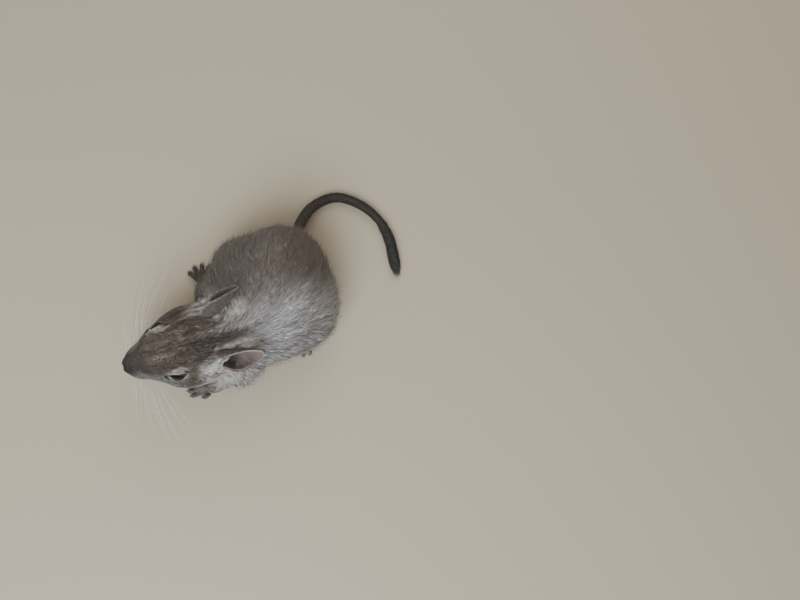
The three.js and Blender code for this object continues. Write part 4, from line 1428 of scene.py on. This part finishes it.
def tail_flesh(u, depth):
    """Radius of the tail so far below its outline, narrowing to the tip in its last stretch."""
    return (TAIL_RADIUS * (1.15 - 0.3 * u) - depth) * np.minimum(1, 0.3 + 16 * (1 - u))


def make_tail():
    def ringed(u):
        return tail_flesh(u, 0.75) * (1 + 0.03 * np.sin(u * RING_WAVES))

    points, faces, _ = tube(TAIL_LINE, ringed, *TAIL_RINGS)
    tail = mesh_of("tail_skin", points, faces, TAIL_DARK * 0.8, materials["skin"])
    finish_piece(tail, "tail", "tail_base", "tail_middle", "tail_tip")
    fur = rng.random(TAIL_FUR) * 0.985
    brush = BRUSH_START + (1 - BRUSH_START) * rng.random(TAIL_BRUSH) ** 0.8
    u = np.concatenate([fur, brush])
    turn = rng.uniform(0, 2 * np.pi, len(u))
    fur_length = np.interp(fur, [0, 0.2, 0.7, 1], [3.0, 2.2, 2.6, 4.0])
    brush_length = np.interp(brush, [BRUSH_START, 1], [3.6, 7.4])
    long = np.concatenate([fur_length, brush_length]) * rng.uniform(0.75, 1.15, len(u))
    rise = np.concatenate([np.full(TAIL_FUR, 0.62), np.interp(brush, [BRUSH_START, 1], [1.0, 1.5])])
    rise = rise * rng.uniform(0.7, 1.3, len(u))
    wide = np.repeat([0.17, 0.19], [TAIL_FUR, TAIL_BRUSH]) * rng.uniform(0.75, 1.25, len(u))
    along = TAIL_LINE.along(u)
    side = unit(np.cross((0, 0, 1.0), along))
    out = side * np.cos(turn)[:, None] + np.cross(along, side) * np.sin(turn)[:, None]
    lines = []
    for share, lift in ((0.0, -0.05), (0.5, 0.6), (1.0, 1.0)):
        reach = u + long * share / TAIL_LINE.length
        narrow = np.maximum(reach - 1, 0) * TAIL_LINE.length * 0.1
        lines.append(TAIL_LINE.at(reach) + out * (tail_flesh(u, 0.85) + rise * lift - narrow)[:, None])
    lines = np.stack(lines, 1)
    lines[:, :, 2] = np.maximum(lines[:, :, 2], 0.25)
    base = lay(TAIL_DARK, TAIL_TIP_HAIR, smooth(0.6, 0.9, u))
    base = lay(base, RUMP * 0.8, smooth(0.12, 0.0, u))
    base = base * np.exp(rng.normal(0, 0.3, (len(u), 1)))
    colours = np.stack([base * 0.7, base, base * 1.2], 1)
    tufts("tail_hair", lines, out, wide, colours, patches(u, turn), materials["coat_fur"], "tail")


# The skin: the box that holds it, and the limits inside which its mesh is made finer
SKIN_BOX = ((-66, -8, -0.9), (24, 68, 46))
FINE_FACE = -7.5
FINER_NOSE = 9.5
FINER_EYE = 6.2
FINE_FEET = 0.6
SKIN_SHADE = 0.6  # the skin is darker than the hair on it


def refine(bm, where):
    """Splits every face whose middle lies where the given test says, and its neighbours to match."""
    bm.faces.ensure_lookup_table()
    middles = np.array([f.calc_center_median() for f in bm.faces])
    chosen = np.flatnonzero(where(middles))
    edges = {e for i in chosen for e in bm.faces[i].edges}
    bmesh.ops.subdivide_edges(bm, edges=list(edges), cuts=1, use_grid_fill=True)


def near_face_or_feet(p):
    h = to_head(p)
    return (h[:, 0] > FINE_FACE) | (foot_distance(p, h) < FINE_FEET)


def near_features(p):
    """Round the nose, the mouth and the eyes."""
    close = to_head(p)[:, 0] > FINER_NOSE
    for side in SIDES:
        close |= np.linalg.norm(p - EYES[side][0], axis=1) < FINER_EYE
    return close


def points_of(bm):
    return np.array([v.co for v in bm.verts], float)


def place_on_flesh(bm, reach):
    points = settle(points_of(bm), flesh, turns=3, reach=reach)
    for v, p in zip(bm.verts, points):
        v.co = p


def make_skin():
    points, faces = surface_of(flesh, *SKIN_BOX, SKIN_CELL)
    draft = plain_mesh("draft", points, faces)
    bm = bmesh.new()
    bm.from_mesh(draft)
    bpy.data.meshes.remove(draft)
    refine(bm, near_face_or_feet)
    place_on_flesh(bm, 0.25)
    refine(bm, near_features)
    place_on_flesh(bm, 0.15)
    bmesh.ops.triangulate(bm, faces=bm.faces[:])
    bm.verts.index_update()
    points = points_of(bm)
    faces = np.array([[v.index for v in f.verts] for f in bm.faces])
    bm.free()
    points[:, 2] = np.maximum(points[:, 2], 0.02)
    return points, faces


skin_points, skin_faces = make_skin()
skin = mesh_of("skin", skin_points, skin_faces, markings(skin_points) * SKIN_SHADE, materials["skin"])
finish_piece(
    skin, "coat", "head", "neck", "torso", "foreleg_left", "foreleg_right", "hindleg_left", "hindleg_right",
    "forepaw_left", "forepaw_right", "hindfoot_left", "hindfoot_right",
)
grow_coat(skin_points, skin_faces)
for side in SIDES:
    make_ear(side)
    make_eye(side)
ear_hair()
make_claws()
make_whiskers()
make_tail()
photo_camera()
stage_and_lights()
